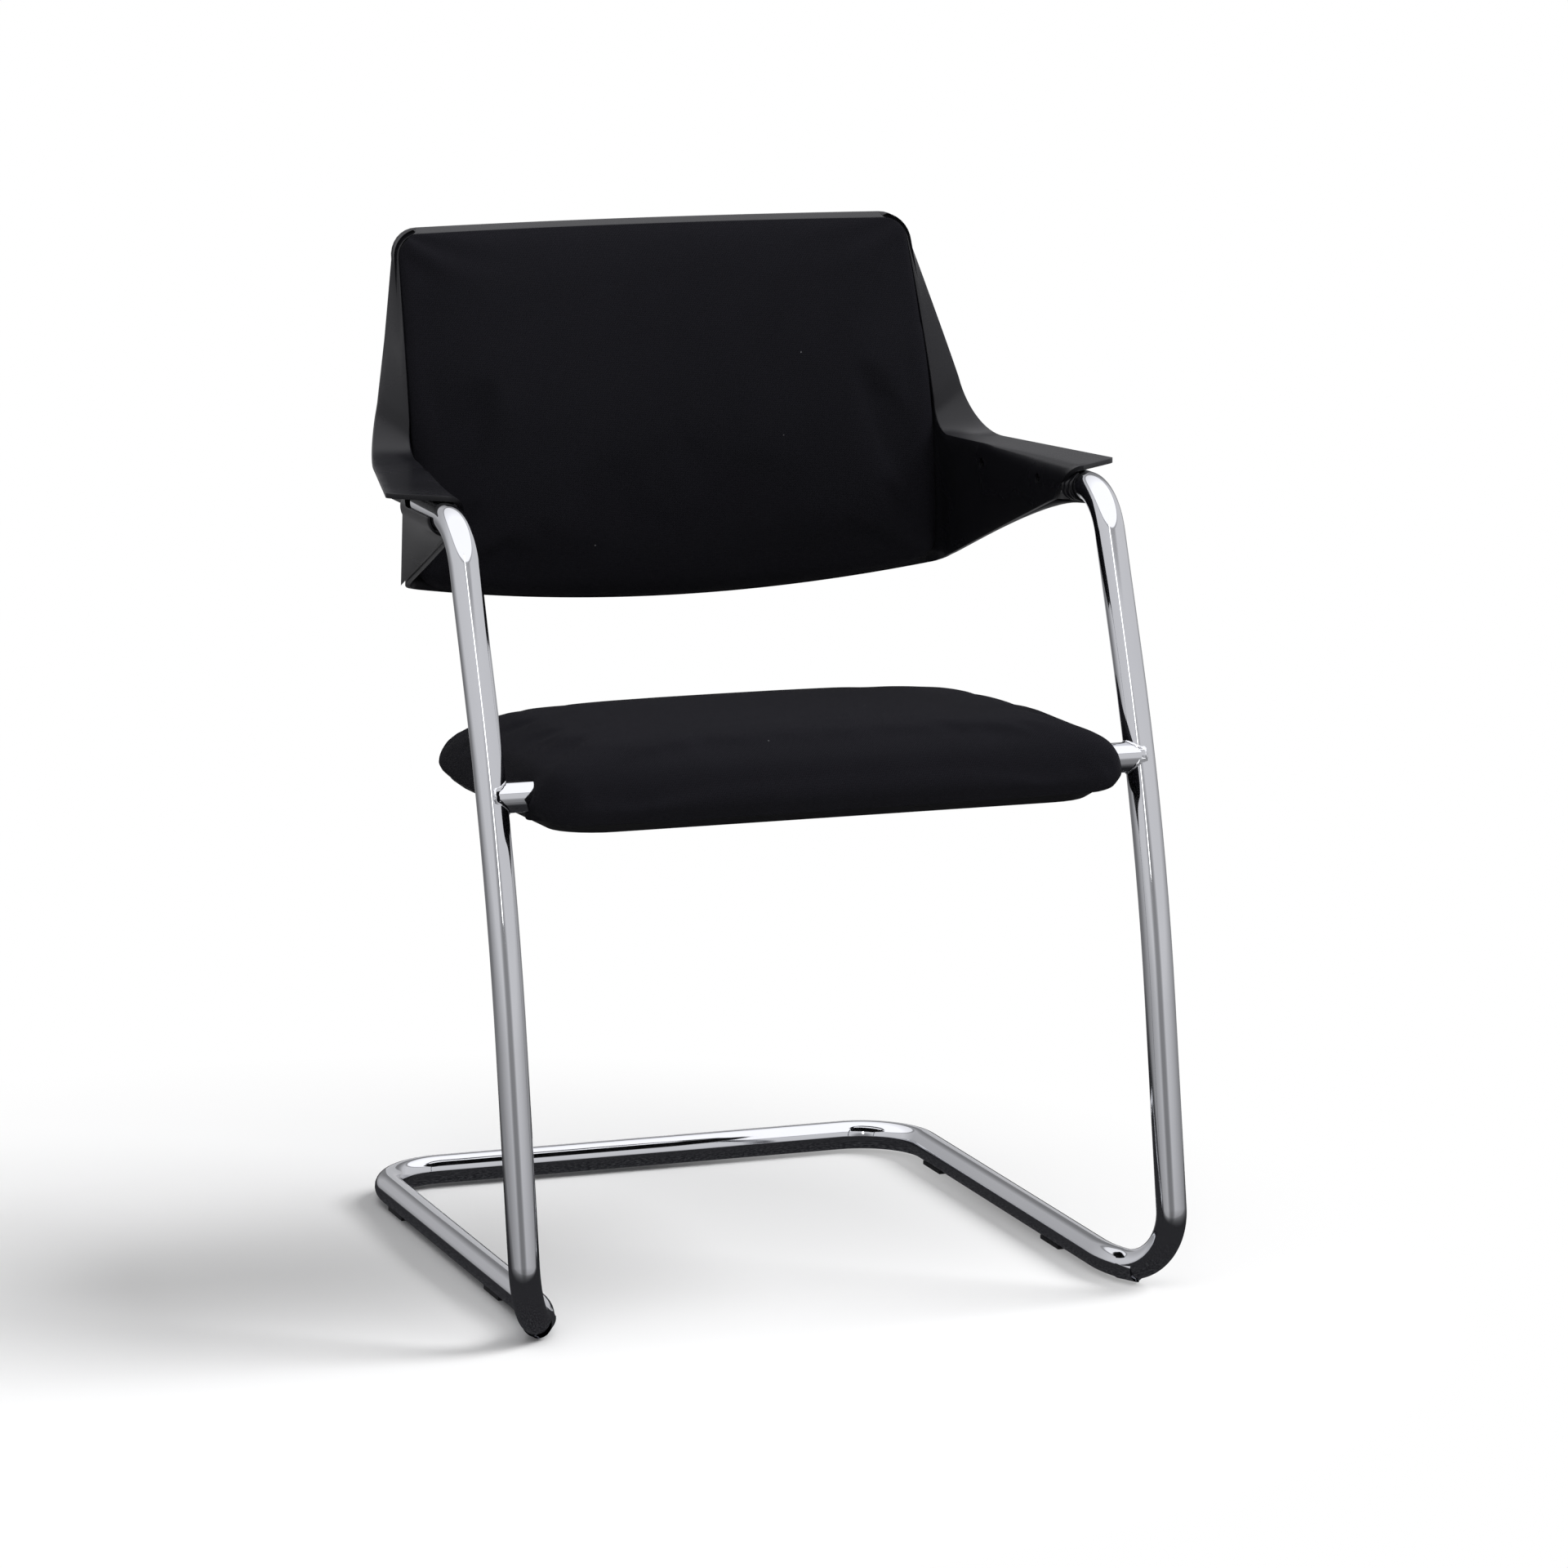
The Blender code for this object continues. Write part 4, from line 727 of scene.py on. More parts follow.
def makeBackShell():
    rows, nose, tip = shellRows()
    first = shell["underRows"]  # the row at the flange's level
    lipStrip, wingStation = 20, 100  # the first numbers of the lip's strips and the wing's stations
    columns, last = shell["columns"], len(rows) - 1
    deselectAll()
    bpy.ops.mesh.primitive_grid_add(x_subdivisions=columns, y_subdivisions=last, size=1)
    piece = started("backShell")
    mesh = piece.data
    for label in ("row", "column", "strip", "station"):
        mesh.attributes.new(label, "INT", "POINT")

    def mark(label, index, value=None):
        datum = mesh.attributes[label].data[index]
        if value is not None:
            datum.value = value
        return datum.value

    for spot in mesh.vertices:
        column = round((spot.co.x + 0.5) * columns)
        row = round((spot.co.y + 0.5) * last)
        mark("row", spot.index, row)
        mark("column", spot.index, column)
        z, half = rows[row][:2]
        low = max(0.0, 1 - (z - shell["bottom"]) / (shell["flangeTop"] - shell["bottom"]))
        flat, roll = columns - shell["rollColumns"], rollAt(z)
        turn = math.radians(90) * max(0, column - flat) / shell["rollColumns"]
        x = (half - roll) * min(1.0, column / flat) + roll * math.sin(turn)
        if row < first and column > flat:
            # the rolled edge follows the wing's lower edge
            wing = wingLow(backLine(z) + shell["tray"] - roll * (1 - math.cos(turn)))
            wing += (shell["flangeTop"] - wing) * row / first
            z += (wing - z) * eased((column - flat) / shell["rollColumns"])
        z -= shell["bottomDrop"] * (1 - (x / half) ** 2) * low
        spot.co = panelPoint(x, z) - Vector((0, roll * (1 - math.cos(turn)), 0))

    def grow(wanted, placeOf, label, value):
        # extrudes a run of edges and puts each new vertex in its place
        pick(piece, lambda spot: wanted(spot.index))
        bpy.ops.mesh.extrude_edges_move(TRANSFORM_OT_translate={"value": (0, 0, 0)})
        editDone()
        for spot in mesh.vertices:
            if spot.select:
                mark(label, spot.index, value)
                spot.co = placeOf(spot.index)

    # the tray's side wall and its rounded rim, then the band in a few strips
    cuts, rimCuts = shell["bandCuts"], shell["trayRimCuts"]
    rims = {row: trayRim(rows, row) for row in range(first, last + 1)}
    for cut in range(rimCuts + 1 + cuts):
        def bandPlace(i):
            rim = rims[mark("row", i)]
            if cut <= rimCuts:
                return rim[cut]
            return rim[-1].lerp(rows[mark("row", i)][3], (cut - rimCuts) / cuts)

        def bandEdge(i):
            if cut == 0:
                return mark("column", i) == columns and mark("row", i) >= first and not mark("strip", i)
            return mark("strip", i) == cut
        grow(bandEdge, bandPlace, "strip", cut + 1)
    # the tray's top wall and the lip
    lipBack = rows[last][3].y - rows[last][2].y

    def shelfPlace(i):
        x = mesh.vertices[i].co.x
        if mark("column", i) == columns:
            return rows[last][2]
        return panelPoint(x, rows[last][0]) - Vector((0, shell["tray"], 0))

    grow(lambda i: mark("row", i) == last and not mark("strip", i), shelfPlace, "strip", lipStrip)
    topNear, topFar = rows[last][2], rows[last][3]
    for cut in range(1, cuts + 1):
        def lipPlace(i):
            spot = shelfPlace(i)
            far = Vector((spot.x * topFar.x / topNear.x, spot.y + lipBack, shell["top"]))
            if mark("column", i) == columns:
                spot, far = topNear, topFar
            return spot.lerp(far, cut / cuts)
        grow(lambda i: mark("strip", i) == lipStrip + cut - 1, lipPlace, "strip", lipStrip + cut)
    # the flange forwards to its nose
    start, farStart = rows[first][2], rows[first][3]
    chinY = shell["wingEndY"] + shell["chin"]
    startY = start.y - rearY
    spans = [startY + (chinY - startY) * k / shell["wingCuts"] for k in range(1, shell["wingCuts"])]
    spans += [chinY] + [chinY - shell["chin"] * share for share in shell["chinCuts"]] + [shell["wingEndY"]]
    stations = [(start, farStart)]
    for y in spans:
        near = chair(wingX(y, shell["flangeTop"]) + foldAt(y, startY), y, shell["flangeTop"])
        stations.append((near, farStart.lerp(tip, (startY - y) / (startY - shell["wingEndY"]))))
    stations.append((nose + Vector((shell["foldFront"], 0, 0)), tip - Vector((0, shell["noseAhead"], 0))))
    for number in range(1, len(stations)):
        near, far = stations[number]

        def flangeEdge(i):
            return mark("station", i) == number - 1 and mark("row", i) == first and 1 <= mark("strip", i) < lipStrip

        def flangePlace(i):
            return near.lerp(far, max(0, mark("strip", i) - 1 - rimCuts) / cuts)
        grow(flangeEdge, flangePlace, "station", number)
    # the wing under it, from the tray's side forwards, rolling into the flange
    straight = first - shell["foldRows"]
    for number in range(len(stations)):
        y = stations[number][0].y - rearY

        def wingPlace(i):
            row = mark("row", i)
            if row == first:
                return stations[number][0]
            low, high, fold = wingLow(y), shell["flangeTop"], foldAt(y, startY)
            z = low + (high - low) * row / first
            even = chair(wingX(y, z), y, z)
            turn = math.radians(90) * max(0, row - straight) / shell["foldRows"]
            z = min(low, high - fold) + (high - fold - min(low, high - fold)) * min(row, straight) / straight
            z += fold * math.sin(turn)
            back = 0.0
            if number == len(stations) - 1:
                back = (shell["wingEndY"] - shell["noseY"] - shell["noseBack"]) * (1 - math.sin(turn))
            rolled = chair(wingX(y + back, z) + fold * (1 - math.cos(turn)), y + back, z)
            return even.lerp(rolled, min(1.0, number / shell["foldStations"]))

        def wingEdge(i):
            if number == 0:
                return mark("column", i) == columns and mark("row", i) <= first and not mark("strip", i)
            lowest = straight if number == len(stations) - 1 else 0
            return mark("station", i) == wingStation + number - 1 and mark("row", i) >= lowest
        grow(wingEdge, wingPlace, "station", wingStation + number)

    def faceForwards():
        mergeAndFace(piece)
        knee = chair(0.1, shell["frontY"], shell["kneeZ"])
        middle = min(mesh.polygons, key=lambda face: (face.center - knee).length)
        if middle.normal.y > 0:
            flipFaces(piece)

    faceForwards()
    # the flange's tip is rounded
    pick(piece, lambda spot: (spot.co - stations[-1][1]).length < mergeGap)
    bpy.ops.mesh.bevel(offset=shell["tipRound"], segments=shell["tipCuts"], affect="VERTICES")
    editDone()
    for label in ("row", "column", "strip", "station"):
        mesh.attributes.remove(mesh.attributes[label])
    mirrorX(piece)
    faceForwards()
    addWall(piece, shell["wall"])
    addRound(piece, shell["rimRound"], shell["rimAngle"], shell["rimCuts"])
    applyAll(piece)
    return piece


def drillBackShell(piece):
    for side in (-1, 1):
        def across(name, y, radius, begin, end):
            place = chair(side * (begin + end) / 2, y, tube["armZ"])
            return cylinder(name, radius, end - begin, place, alongX, shell["drillSides"])

        for y, reach in zip(shell["screwYs"], shell["bossEnds"]):
            face = wingX(y, tube["armZ"])
            past = shell["drillPast"]
            cutWith(piece, across("boss", y, shell["boss"], face + shell["wall"] / 2, reach), "UNION")
            cutWith(piece, across("screwHole", y, shell["screwHole"], face - past, face + shell["screwSunk"]))
            cutWith(piece, across("shankHole", y, shell["shankHole"], face, reach + past))
        for rise in shell["clipRises"]:
            x, z = side * shell["clipX"], shell["bottom"] + rise
            turn = Vector((0, 0, 1)).rotation_difference(panelNormal(x, z)).to_euler()
            cutWith(piece, cylinder("clipHole", shell["clipHole"], 0.03, panelPoint(x, z), turn, shell["clipSides"]))


shellPiece = makeBackShell()
drillBackShell(shellPiece)
smoothed(shellPiece, shell["smoothAngle"])
settle(shellPiece, shellPlastic, "shell_plastic", "back_shell")
print("back shell made:", len(shellPiece.data.polygons), "faces")


# padded pieces are swelled by cloth simulation with their hidden side held
swell = {"pressure": 4.0, "frames": 20, "quality": 6, "bending": 12.0, "tension": 25.0}


def voxelled(piece, size):
    remesh = piece.modifiers.new("voxels", "REMESH")
    remesh.mode = "VOXEL"
    remesh.voxel_size = size
    applyAll(piece)


def relax(piece, times, group=""):
    ease = piece.modifiers.new("ease", "SMOOTH")
    ease.vertex_group = group
    ease.iterations = times
    ease.factor = 0.5
    applyAll(piece)


def shrink(piece, depth):
    editAll(piece)
    bpy.ops.transform.shrink_fatten(value=-depth)
    editDone()


def swelled(piece, held, cap, tautness):
    group = piece.vertex_groups.new(name="held")
    group.add(sorted(held), 1.0, "REPLACE")
    before = [spot.co.copy() for spot in piece.data.vertices]
    cloth = piece.modifiers.new("swell", "CLOTH")
    cloth.settings.quality = swell["quality"]
    cloth.settings.vertex_group_mass = "held"
    cloth.settings.use_pressure = True
    cloth.settings.uniform_pressure_force = swell["pressure"]
    cloth.settings.effector_weights.gravity = 0
    cloth.settings.bending_stiffness = swell["bending"]
    cloth.settings.tension_stiffness = cloth.settings.compression_stiffness = swell["tension"]
    cloth.settings.shrink_min = tautness
    cloth.collision_settings.use_collision = False
    cloth.collision_settings.use_self_collision = False
    cloth.point_cache.frame_start = 1
    cloth.point_cache.frame_end = swell["frames"]
    for number in range(1, swell["frames"] + 1):
        bpy.context.scene.frame_set(number)
    applyAll(piece)
    bpy.context.scene.frame_set(1)
    moved = 0.0
    for spot, rest in zip(piece.data.vertices, before):
        step = spot.co - rest
        moved = max(moved, step.length)
        if step.length > cap:
            spot.co = rest + step.normalized() * cap
    piece.vertex_groups.clear()
    print(piece.name, "swelled by up to", round(moved * 1000, 1), "mm, kept to", cap * 1000)


def subdivided(piece):
    finer = piece.modifiers.new("finer", "SUBSURF")
    finer.levels = finer.render_levels = 1
    applyAll(piece)
    take(piece)
    bpy.ops.object.shade_smooth()


# seat cushion
seat = {
    "tilt": 3.0, "halfWidth": 0.2515, "frontReach": 0.066, "depth": 0.408, "voxel": 0.0045,
    "start": 0.0022, "cap": 0.0042, "tautness": 0.0, "softTimes": 4, "easeTimes": 4, "softOver": 0.010,
    "rollTimes": 24, "rollFrom": 0.050, "rollOver": 0.06,
    "skirtWall": 0.014, "skirtZ": 0.4075, "baseZ": 0.4511, "near": 0.001, "inner": 0.003,
    "ceilingDrop": 0.0055, "ceilingWithin": 0.0012,
    "slot": 0.0133, "slotBeside": 0.008, "slotAbove": 0.010, "slotHem": 0.004,
    "plugFrom": 0.236, "plugSide": 0.026, "plugWider": 0.004, "plugHigher": 0.006, "plugSkin": 0.003,
    "fullFront": 0.0080, "fullRear": 0.0040, "fullBehind": 0.04, "fullFade": 0.15,
    "fullRise": 0.016, "fullFromX": 0.175, "fullOverX": 0.06,
    "holeX": 0.265, "holeDepth": 0.09, "holeGap": 0.0004, "smoothAngle": 60, "crestBehind": 0.19,
}
seatTurn = Matrix.Rotation(-math.radians(seat["tilt"]), 3, "X")
seatPivot = Vector((0, crossCentre.y, tube["crossZ"]))


def seatLevel(spot):
    return seatTurn.inverted() @ (spot - seatPivot) + seatPivot


def nearSlot(level):
    beside = abs(level.y - crossCentre.y) < seat["slot"] + seat["slotBeside"] and abs(level.x) > seat["plugFrom"]
    return beside and level.z < tube["crossZ"] + seat["slot"] + seat["slotAbove"]


def fillSlots(piece):
    # the fabric lies close round the cross tube, so the slots are filled
    parts = [piece]
    lowZ, highZ = seat["skirtZ"] + seat["start"], tube["crossZ"] + seat["slot"] + seat["plugHigher"]
    for side in (-1, 1):
        deselectAll()
        bpy.ops.mesh.primitive_cube_add(size=1)
        block = started("slotFill")
        for spot in block.data.vertices:
            x = seat["plugFrom"] + (seat["halfWidth"] - seat["start"] - seat["plugFrom"]) * (spot.co.x + 0.5)
            y = crossCentre.y + spot.co.y * 2 * (seat["slot"] + seat["plugWider"])
            level = Vector((side * x, y, lowZ + (highZ - lowZ) * (spot.co.z + 0.5)))
            spot.co = seatTurn @ (level - seatPivot) + seatPivot
        mergeAndFace(block)
        parts.append(block)
    take(piece)
    for part in parts:
        part.select_set(True)
    bpy.ops.object.join()


def levelSlots(piece, surface):
    # brings the filled slots level with the fabric beside them
    for spot in piece.data.vertices:
        if not nearSlot(seatLevel(spot.co)):
            continue
        side = math.copysign(1, spot.co.x)
        hits = []
        for step in (-seat["plugSide"], seat["plugSide"]):
            begin = Vector((side * 0.4, crossCentre.y + step, spot.co.z))
            hits.append(surface.ray_cast(begin, Vector((-side, 0, 0)))[0])
        if None in hits:
            continue
        reach = sum(abs(hit.x) for hit in hits) / 2 - seat["start"]
        if abs(spot.co.x) > reach - seat["plugSkin"]:
            spot.co.x = side * reach


def seatHolds(piece, surface):
    # the vertices of the hem and the underside, by the nearest place on the CAD's surface
    front = crossCentre.y - seat["frontReach"]
    rear = front + seat["depth"]
    middle = Vector((0, (front + rear) / 2, seat["baseZ"]))
    held = set()
    for spot in piece.data.vertices:
        if nearSlot(seatLevel(spot.co)):
            if seatLevel(spot.co).z < seat["skirtZ"] + seat["slotHem"]:
                held.add(spot.index)
            continue
        place, normal = surface.find_nearest(spot.co)[:2]
        level = seatLevel(place)
        inside = min(seat["halfWidth"] - abs(level.x), level.y - front, rear - level.y)
        under = inside > seat["skirtWall"] - seat["inner"] and level.z < seat["baseZ"] + seat["near"]
        inward = normal.z < -0.5 or normal.dot(middle - place) > 0
        if level.z < seat["skirtZ"] + seat["near"] or (under and inward):
            held.add(spot.index)
    return held


def fullSides(piece, held):
    # the sides stand full and nearly upright, most of all beside the cross tube
    for spot in piece.data.vertices:
        if spot.index in held:
            continue
        level = seatLevel(spot.co)
        back = eased((level.y - crossCentre.y - seat["fullBehind"]) / seat["fullFade"])
        push = seat["fullFront"] + (seat["fullRear"] - seat["fullFront"]) * back
        push *= eased((level.z - seat["skirtZ"]) / seat["fullRise"])
        push *= eased((abs(level.x) - seat["fullFromX"]) / seat["fullOverX"])
        spot.co.x += math.copysign(push, level.x)


def softenSeat(piece, held):
    # smooths all but what is held, most of all along the front edge
    front = crossCentre.y - seat["frontReach"]
    for label, times in (("whole", seat["softTimes"]), ("roll", seat["rollTimes"])):
        group = piece.vertex_groups.new(name=label)
        for spot in piece.data.vertices:
            level = seatLevel(spot.co)
            free = 0.0 if spot.index in held else eased((level.z - seat["skirtZ"]) / seat["softOver"])
            if label == "roll":
                free *= 1 - eased((level.y - front - seat["rollFrom"]) / seat["rollOver"])
            group.add([spot.index], free, "REPLACE")
        relax(piece, times, label)
        piece.vertex_groups.clear()


def makeSeatCushion():
    piece = copyOf("seat_cushion", "seatCushion")
    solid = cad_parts["seat_cushion"].data
    surface = BVHTree.FromPolygons([spot.co for spot in solid.vertices], [face.vertices for face in solid.polygons])
    # the ceiling over the board goes down for now, so that thin places stay closed
    ceiling = [
        spot.index for spot in piece.data.vertices
        if abs(seatLevel(spot.co).z - seat["baseZ"]) < seat["ceilingWithin"] and spot.normal.z < -0.3
    ]
    shrink(piece, seat["start"])
    for index in ceiling:
        piece.data.vertices[index].co.z -= seat["ceilingDrop"]
    fillSlots(piece)
    voxelled(piece, seat["voxel"])
    levelSlots(piece, surface)
    held = seatHolds(piece, surface)
    softenSeat(piece, held)
    swelled(piece, held, seat["cap"], seat["tautness"])
    relax(piece, seat["easeTimes"])
    fullSides(piece, held)
    for index in held:
        spot = piece.data.vertices[index]
        if not nearSlot(seatLevel(spot.co)):
            spot.co = surface.find_nearest(spot.co)[0]
    subdivided(piece)
    radius = tube["radius"] + seat["holeGap"]
    for side in (-1, 1):
        place = (side * seat["holeX"], crossCentre.y, tube["crossZ"])
        cutWith(piece, cylinder("tubeHole", radius, seat["holeDepth"], place, alongX, tube["sides"]))
    smoothed(piece, seat["smoothAngle"])
    crest = max(spot.co.z for spot in piece.data.vertices if spot.co.y > rearY - seat["crestBehind"])
    print("seat's rear crest:", round(crest * 1000, 1), "mm")
    settle(piece, fabric, "black_fabric", "seat_cushion")


# back cushion: a flat blank with rounded corners, bent to the tray and swelled
pad = {
    "inset": -0.0012, "lowInset": 0.0034, "wallGap": 0.0001, "lowGap": 0.0048, "lowFromZ": 0.70, "lowOver": 0.10,
    "across": 16, "up": 12, "blank": 0.012, "lipShown": 0.0022, "hemRise": 0.001, "middleZ": 0.7, "flatAngle": 0.01,
    "bottomCorner": 0.038, "topCorner": 0.020, "cornerCuts": 8, "cornerNear": 0.002, "topNear": 0.001, "lowNear": 0.004,
    "offset": 0.0056, "edge": 0.0036, "rise": 0.0072, "riseWithin": 0.014, "crown": 0.0120, "thinnest": 0.0022,
    "rimBack": 0.0012, "rimWidth": 0.009, "rimOver": 0.004, "rollGap": 0.0005,
    "lipBack": 0.0103, "lipNear": 0.0030, "lipOver": 0.0025, "lipBelow": 0.024, "lipRise": 0.010,
    "voxel": 0.004, "blankTimes": 4, "easeTimes": 2, "cap": 0.004, "tautness": 0.008, "heldShare": 0.3,
}


def padHalf(z, upper="inset", lower="lowInset"):
    low = max(0.0, min(1.0, (pad["lowFromZ"] - z) / pad["lowOver"]))
    return backHalf(z) - pad[upper] - (pad[lower] - pad[upper]) * low


def padBottom(x):
    drop = shell["bottomDrop"] * (1 - (x / backHalf(shell["bottom"])) ** 2)
    return shell["bottom"] - drop + pad["hemRise"]


def insideTray(x, z):
    # how far a place lies inside the tray's outline
    high = shell["top"] - shell["lip"]
    cornerZ = high - shell["innerCorner"]
    centreX = backHalf(cornerZ) - shell["innerCorner"]
    if z > cornerZ and abs(x) > centreX:
        return shell["innerCorner"] - math.hypot(abs(x) - centreX, z - cornerZ)
    return min(high - z, backHalf(z) - abs(x))


def isCorner(spot, high, top):
    reach = padHalf(top if high else shell["bottom"]) - pad["cornerNear"]
    level = spot.z > top - pad["topNear"] if high else spot.z < shell["bottom"] + pad["lowNear"]
    return level and abs(spot.x) > reach


def makeBackCushion():
    top = shell["top"] - pad["lipShown"]
    deselectAll()
    bpy.ops.mesh.primitive_grid_add(
        x_subdivisions=pad["across"], y_subdivisions=pad["up"], size=2, rotation=(math.radians(90), 0, 0)
    )
    piece = started("backCushion")
    for spot in piece.data.vertices:
        u, rise = spot.co.x, (spot.co.z + 1) / 2
        guess = shell["bottom"] + (top - shell["bottom"]) * rise
        x = u * padHalf(guess)
        low = padBottom(x)
        spot.co = Vector((x, 0, low + (top - low) * rise))
    dissolveFlat(piece, pad["flatAngle"])
    # rounds the four corners of the outline
    for high, radius in ((False, pad["bottomCorner"]), (True, pad["topCorner"])):
        pick(piece, lambda spot: (spot.co.z > pad["middleZ"]) == high and isCorner(spot.co, high, top))
        bpy.ops.mesh.bevel(offset=radius, segments=pad["cornerCuts"], affect="VERTICES")
        editDone()
    editAll(piece)
    bpy.ops.mesh.extrude_region_move(TRANSFORM_OT_translate={"value": (0, -pad["blank"], 0)})
    editDone()
    mergeAndFace(piece)
    voxelled(piece, pad["voxel"])
    relax(piece, pad["blankTimes"])
    # bends the blank to the tray and gives it its crown
    held = set()
    for spot in piece.data.vertices:
        x, out, z = spot.co.x, -spot.co.y / pad["blank"], spot.co.z
        half = padHalf(z, "wallGap", "lowGap")
        x = max(-half, min(half, x))
        u = abs(x) / half
        v = min(1.0, abs((z - (top + padBottom(x)) / 2) / ((top - padBottom(x)) / 2)))
        inside = min(half - abs(x), top - z, z - padBottom(x))
        bend = 1 - max(0.0, min(1.0, inside / pad["riseWithin"]))
        front = pad["offset"] + pad["edge"] + pad["rise"] * math.sqrt(1 - bend**2)
        front += pad["crown"] * (1 - u**4) * (1 - v**4)
        rest = max(pad["rimBack"], rollLift(backHalf(z) - abs(x), z) + pad["rollGap"])
        rest += (pad["offset"] - rest) * eased((inside - pad["rimWidth"]) / pad["rimOver"])
        # along the top the pad lies a little over the lip
        over = eased((pad["lipNear"] - insideTray(x, z)) / pad["lipOver"])
        over *= eased((z - shell["top"] + pad["lipBelow"]) / pad["lipRise"])
        rest += (max(rest, pad["lipBack"]) - rest) * over
        away = rest + (max(front, rest + pad["thinnest"]) - rest) * out
        spot.co = panelPoint(x, z) + Vector((0, away / panelNormal(x, z).y, 0))
        if out < pad["heldShare"]:
            held.add(spot.index)
    swelled(piece, held, pad["cap"], pad["tautness"])
    relax(piece, pad["easeTimes"])
    subdivided(piece)
    settle(piece, fabric, "black_fabric", "back_cushion")


makeSeatCushion()
makeBackCushion()
print("cushions made")


# collars that join the wings to the tube, and the outer covers of the arms
wrap = {
    "collarLength": 0.0122, "collarFrom": 122, "collarTo": 262,
    "collarUnder": 0.0142, "collarOut": 0.0182, "collarLow": 0.0150,
    "outFrom": 148, "outOver": 30, "lowFrom": 195, "lowOver": 60,
    "lips": (  # along the collar, and how far each lip stands out
        (0.0, 0.30), (0.10, 0.42), (0.34, 0.50), (0.40, 0.44), (0.46, 0.66),
        (0.74, 0.80), (0.80, 0.72), (0.86, 0.94), (1.0, 1.0),
    ),
    "around": 24, "gap": 0.0003, "collarRound": 0.0005, "collarSmooth": 50,
    "coverWall": 0.0022, "coverTop": 6, "coverClose": 50, "closeFrom": 0.78, "closeOver": 0.22,
    "coverChin": 0.012, "coverRearY": armCornerY + 0.117, "coverBack": 0.008, "coverLift": 0.0012,
    "coverTaper": 0.6, "plateGap": 0.0004, "coverArc": 14, "coverFlat": 10, "coverCuts": 16, "coverSmooth": 40,
    "edgeRound": 0.0008, "edgeAngle": 50, "edgeCuts": 2,
}


def makeCollar(side, label):
    # nested lips that close round the tube from the wing's end
    deselectAll()
    lips = wrap["lips"]
    bpy.ops.mesh.primitive_grid_add(x_subdivisions=len(lips) - 1, y_subdivisions=wrap["around"], size=1)
    piece = started("armCollar_" + label)
    inner = tube["radius"] + wrap["gap"]
    rear = shell["wingEndY"] - wrap["gap"]

    def onTube(turn, radius, y):
        return chair(side * (tube["uprightX"] + radius * math.cos(turn)), y, tube["armZ"] + radius * math.sin(turn))

    def turnOf(share):
        return math.radians(wrap["collarFrom"] + (wrap["collarTo"] - wrap["collarFrom"]) * share)

    for spot in piece.data.vertices:
        along, stand = lips[round((spot.co.x + 0.5) * (len(lips) - 1))]
        share = spot.co.y + 0.5
        angle = math.degrees(turnOf(share))
        full = eased((angle - wrap["outFrom"]) / wrap["outOver"])
        outer = wrap["collarUnder"] + (wrap["collarOut"] - wrap["collarUnder"]) * full
        outer += (wrap["collarLow"] - wrap["collarOut"]) * eased((angle - wrap["lowFrom"]) / wrap["lowOver"])
        spot.co = onTube(turnOf(share), inner + (outer - inner) * stand, rear - wrap["collarLength"] * (1 - along))
    editAll(piece)
    bpy.ops.mesh.extrude_region_move(TRANSFORM_OT_translate={"value": (0, 0, 0)})
    editDone()
    for spot in piece.data.vertices:
        if spot.select:
            turn = math.atan2(spot.co.z - tube["armZ"], side * spot.co.x - tube["uprightX"])
            spot.co = onTube(turn, inner, spot.co.y - rearY)
    mergeAndFace(piece)
    addRound(piece, wrap["collarRound"], wrap["edgeAngle"], wrap["edgeCuts"])
    applyAll(piece)
    smoothed(piece, wrap["collarSmooth"])
    settle(piece, shellPlastic, "shell_plastic", "arm_saddle_" + label)


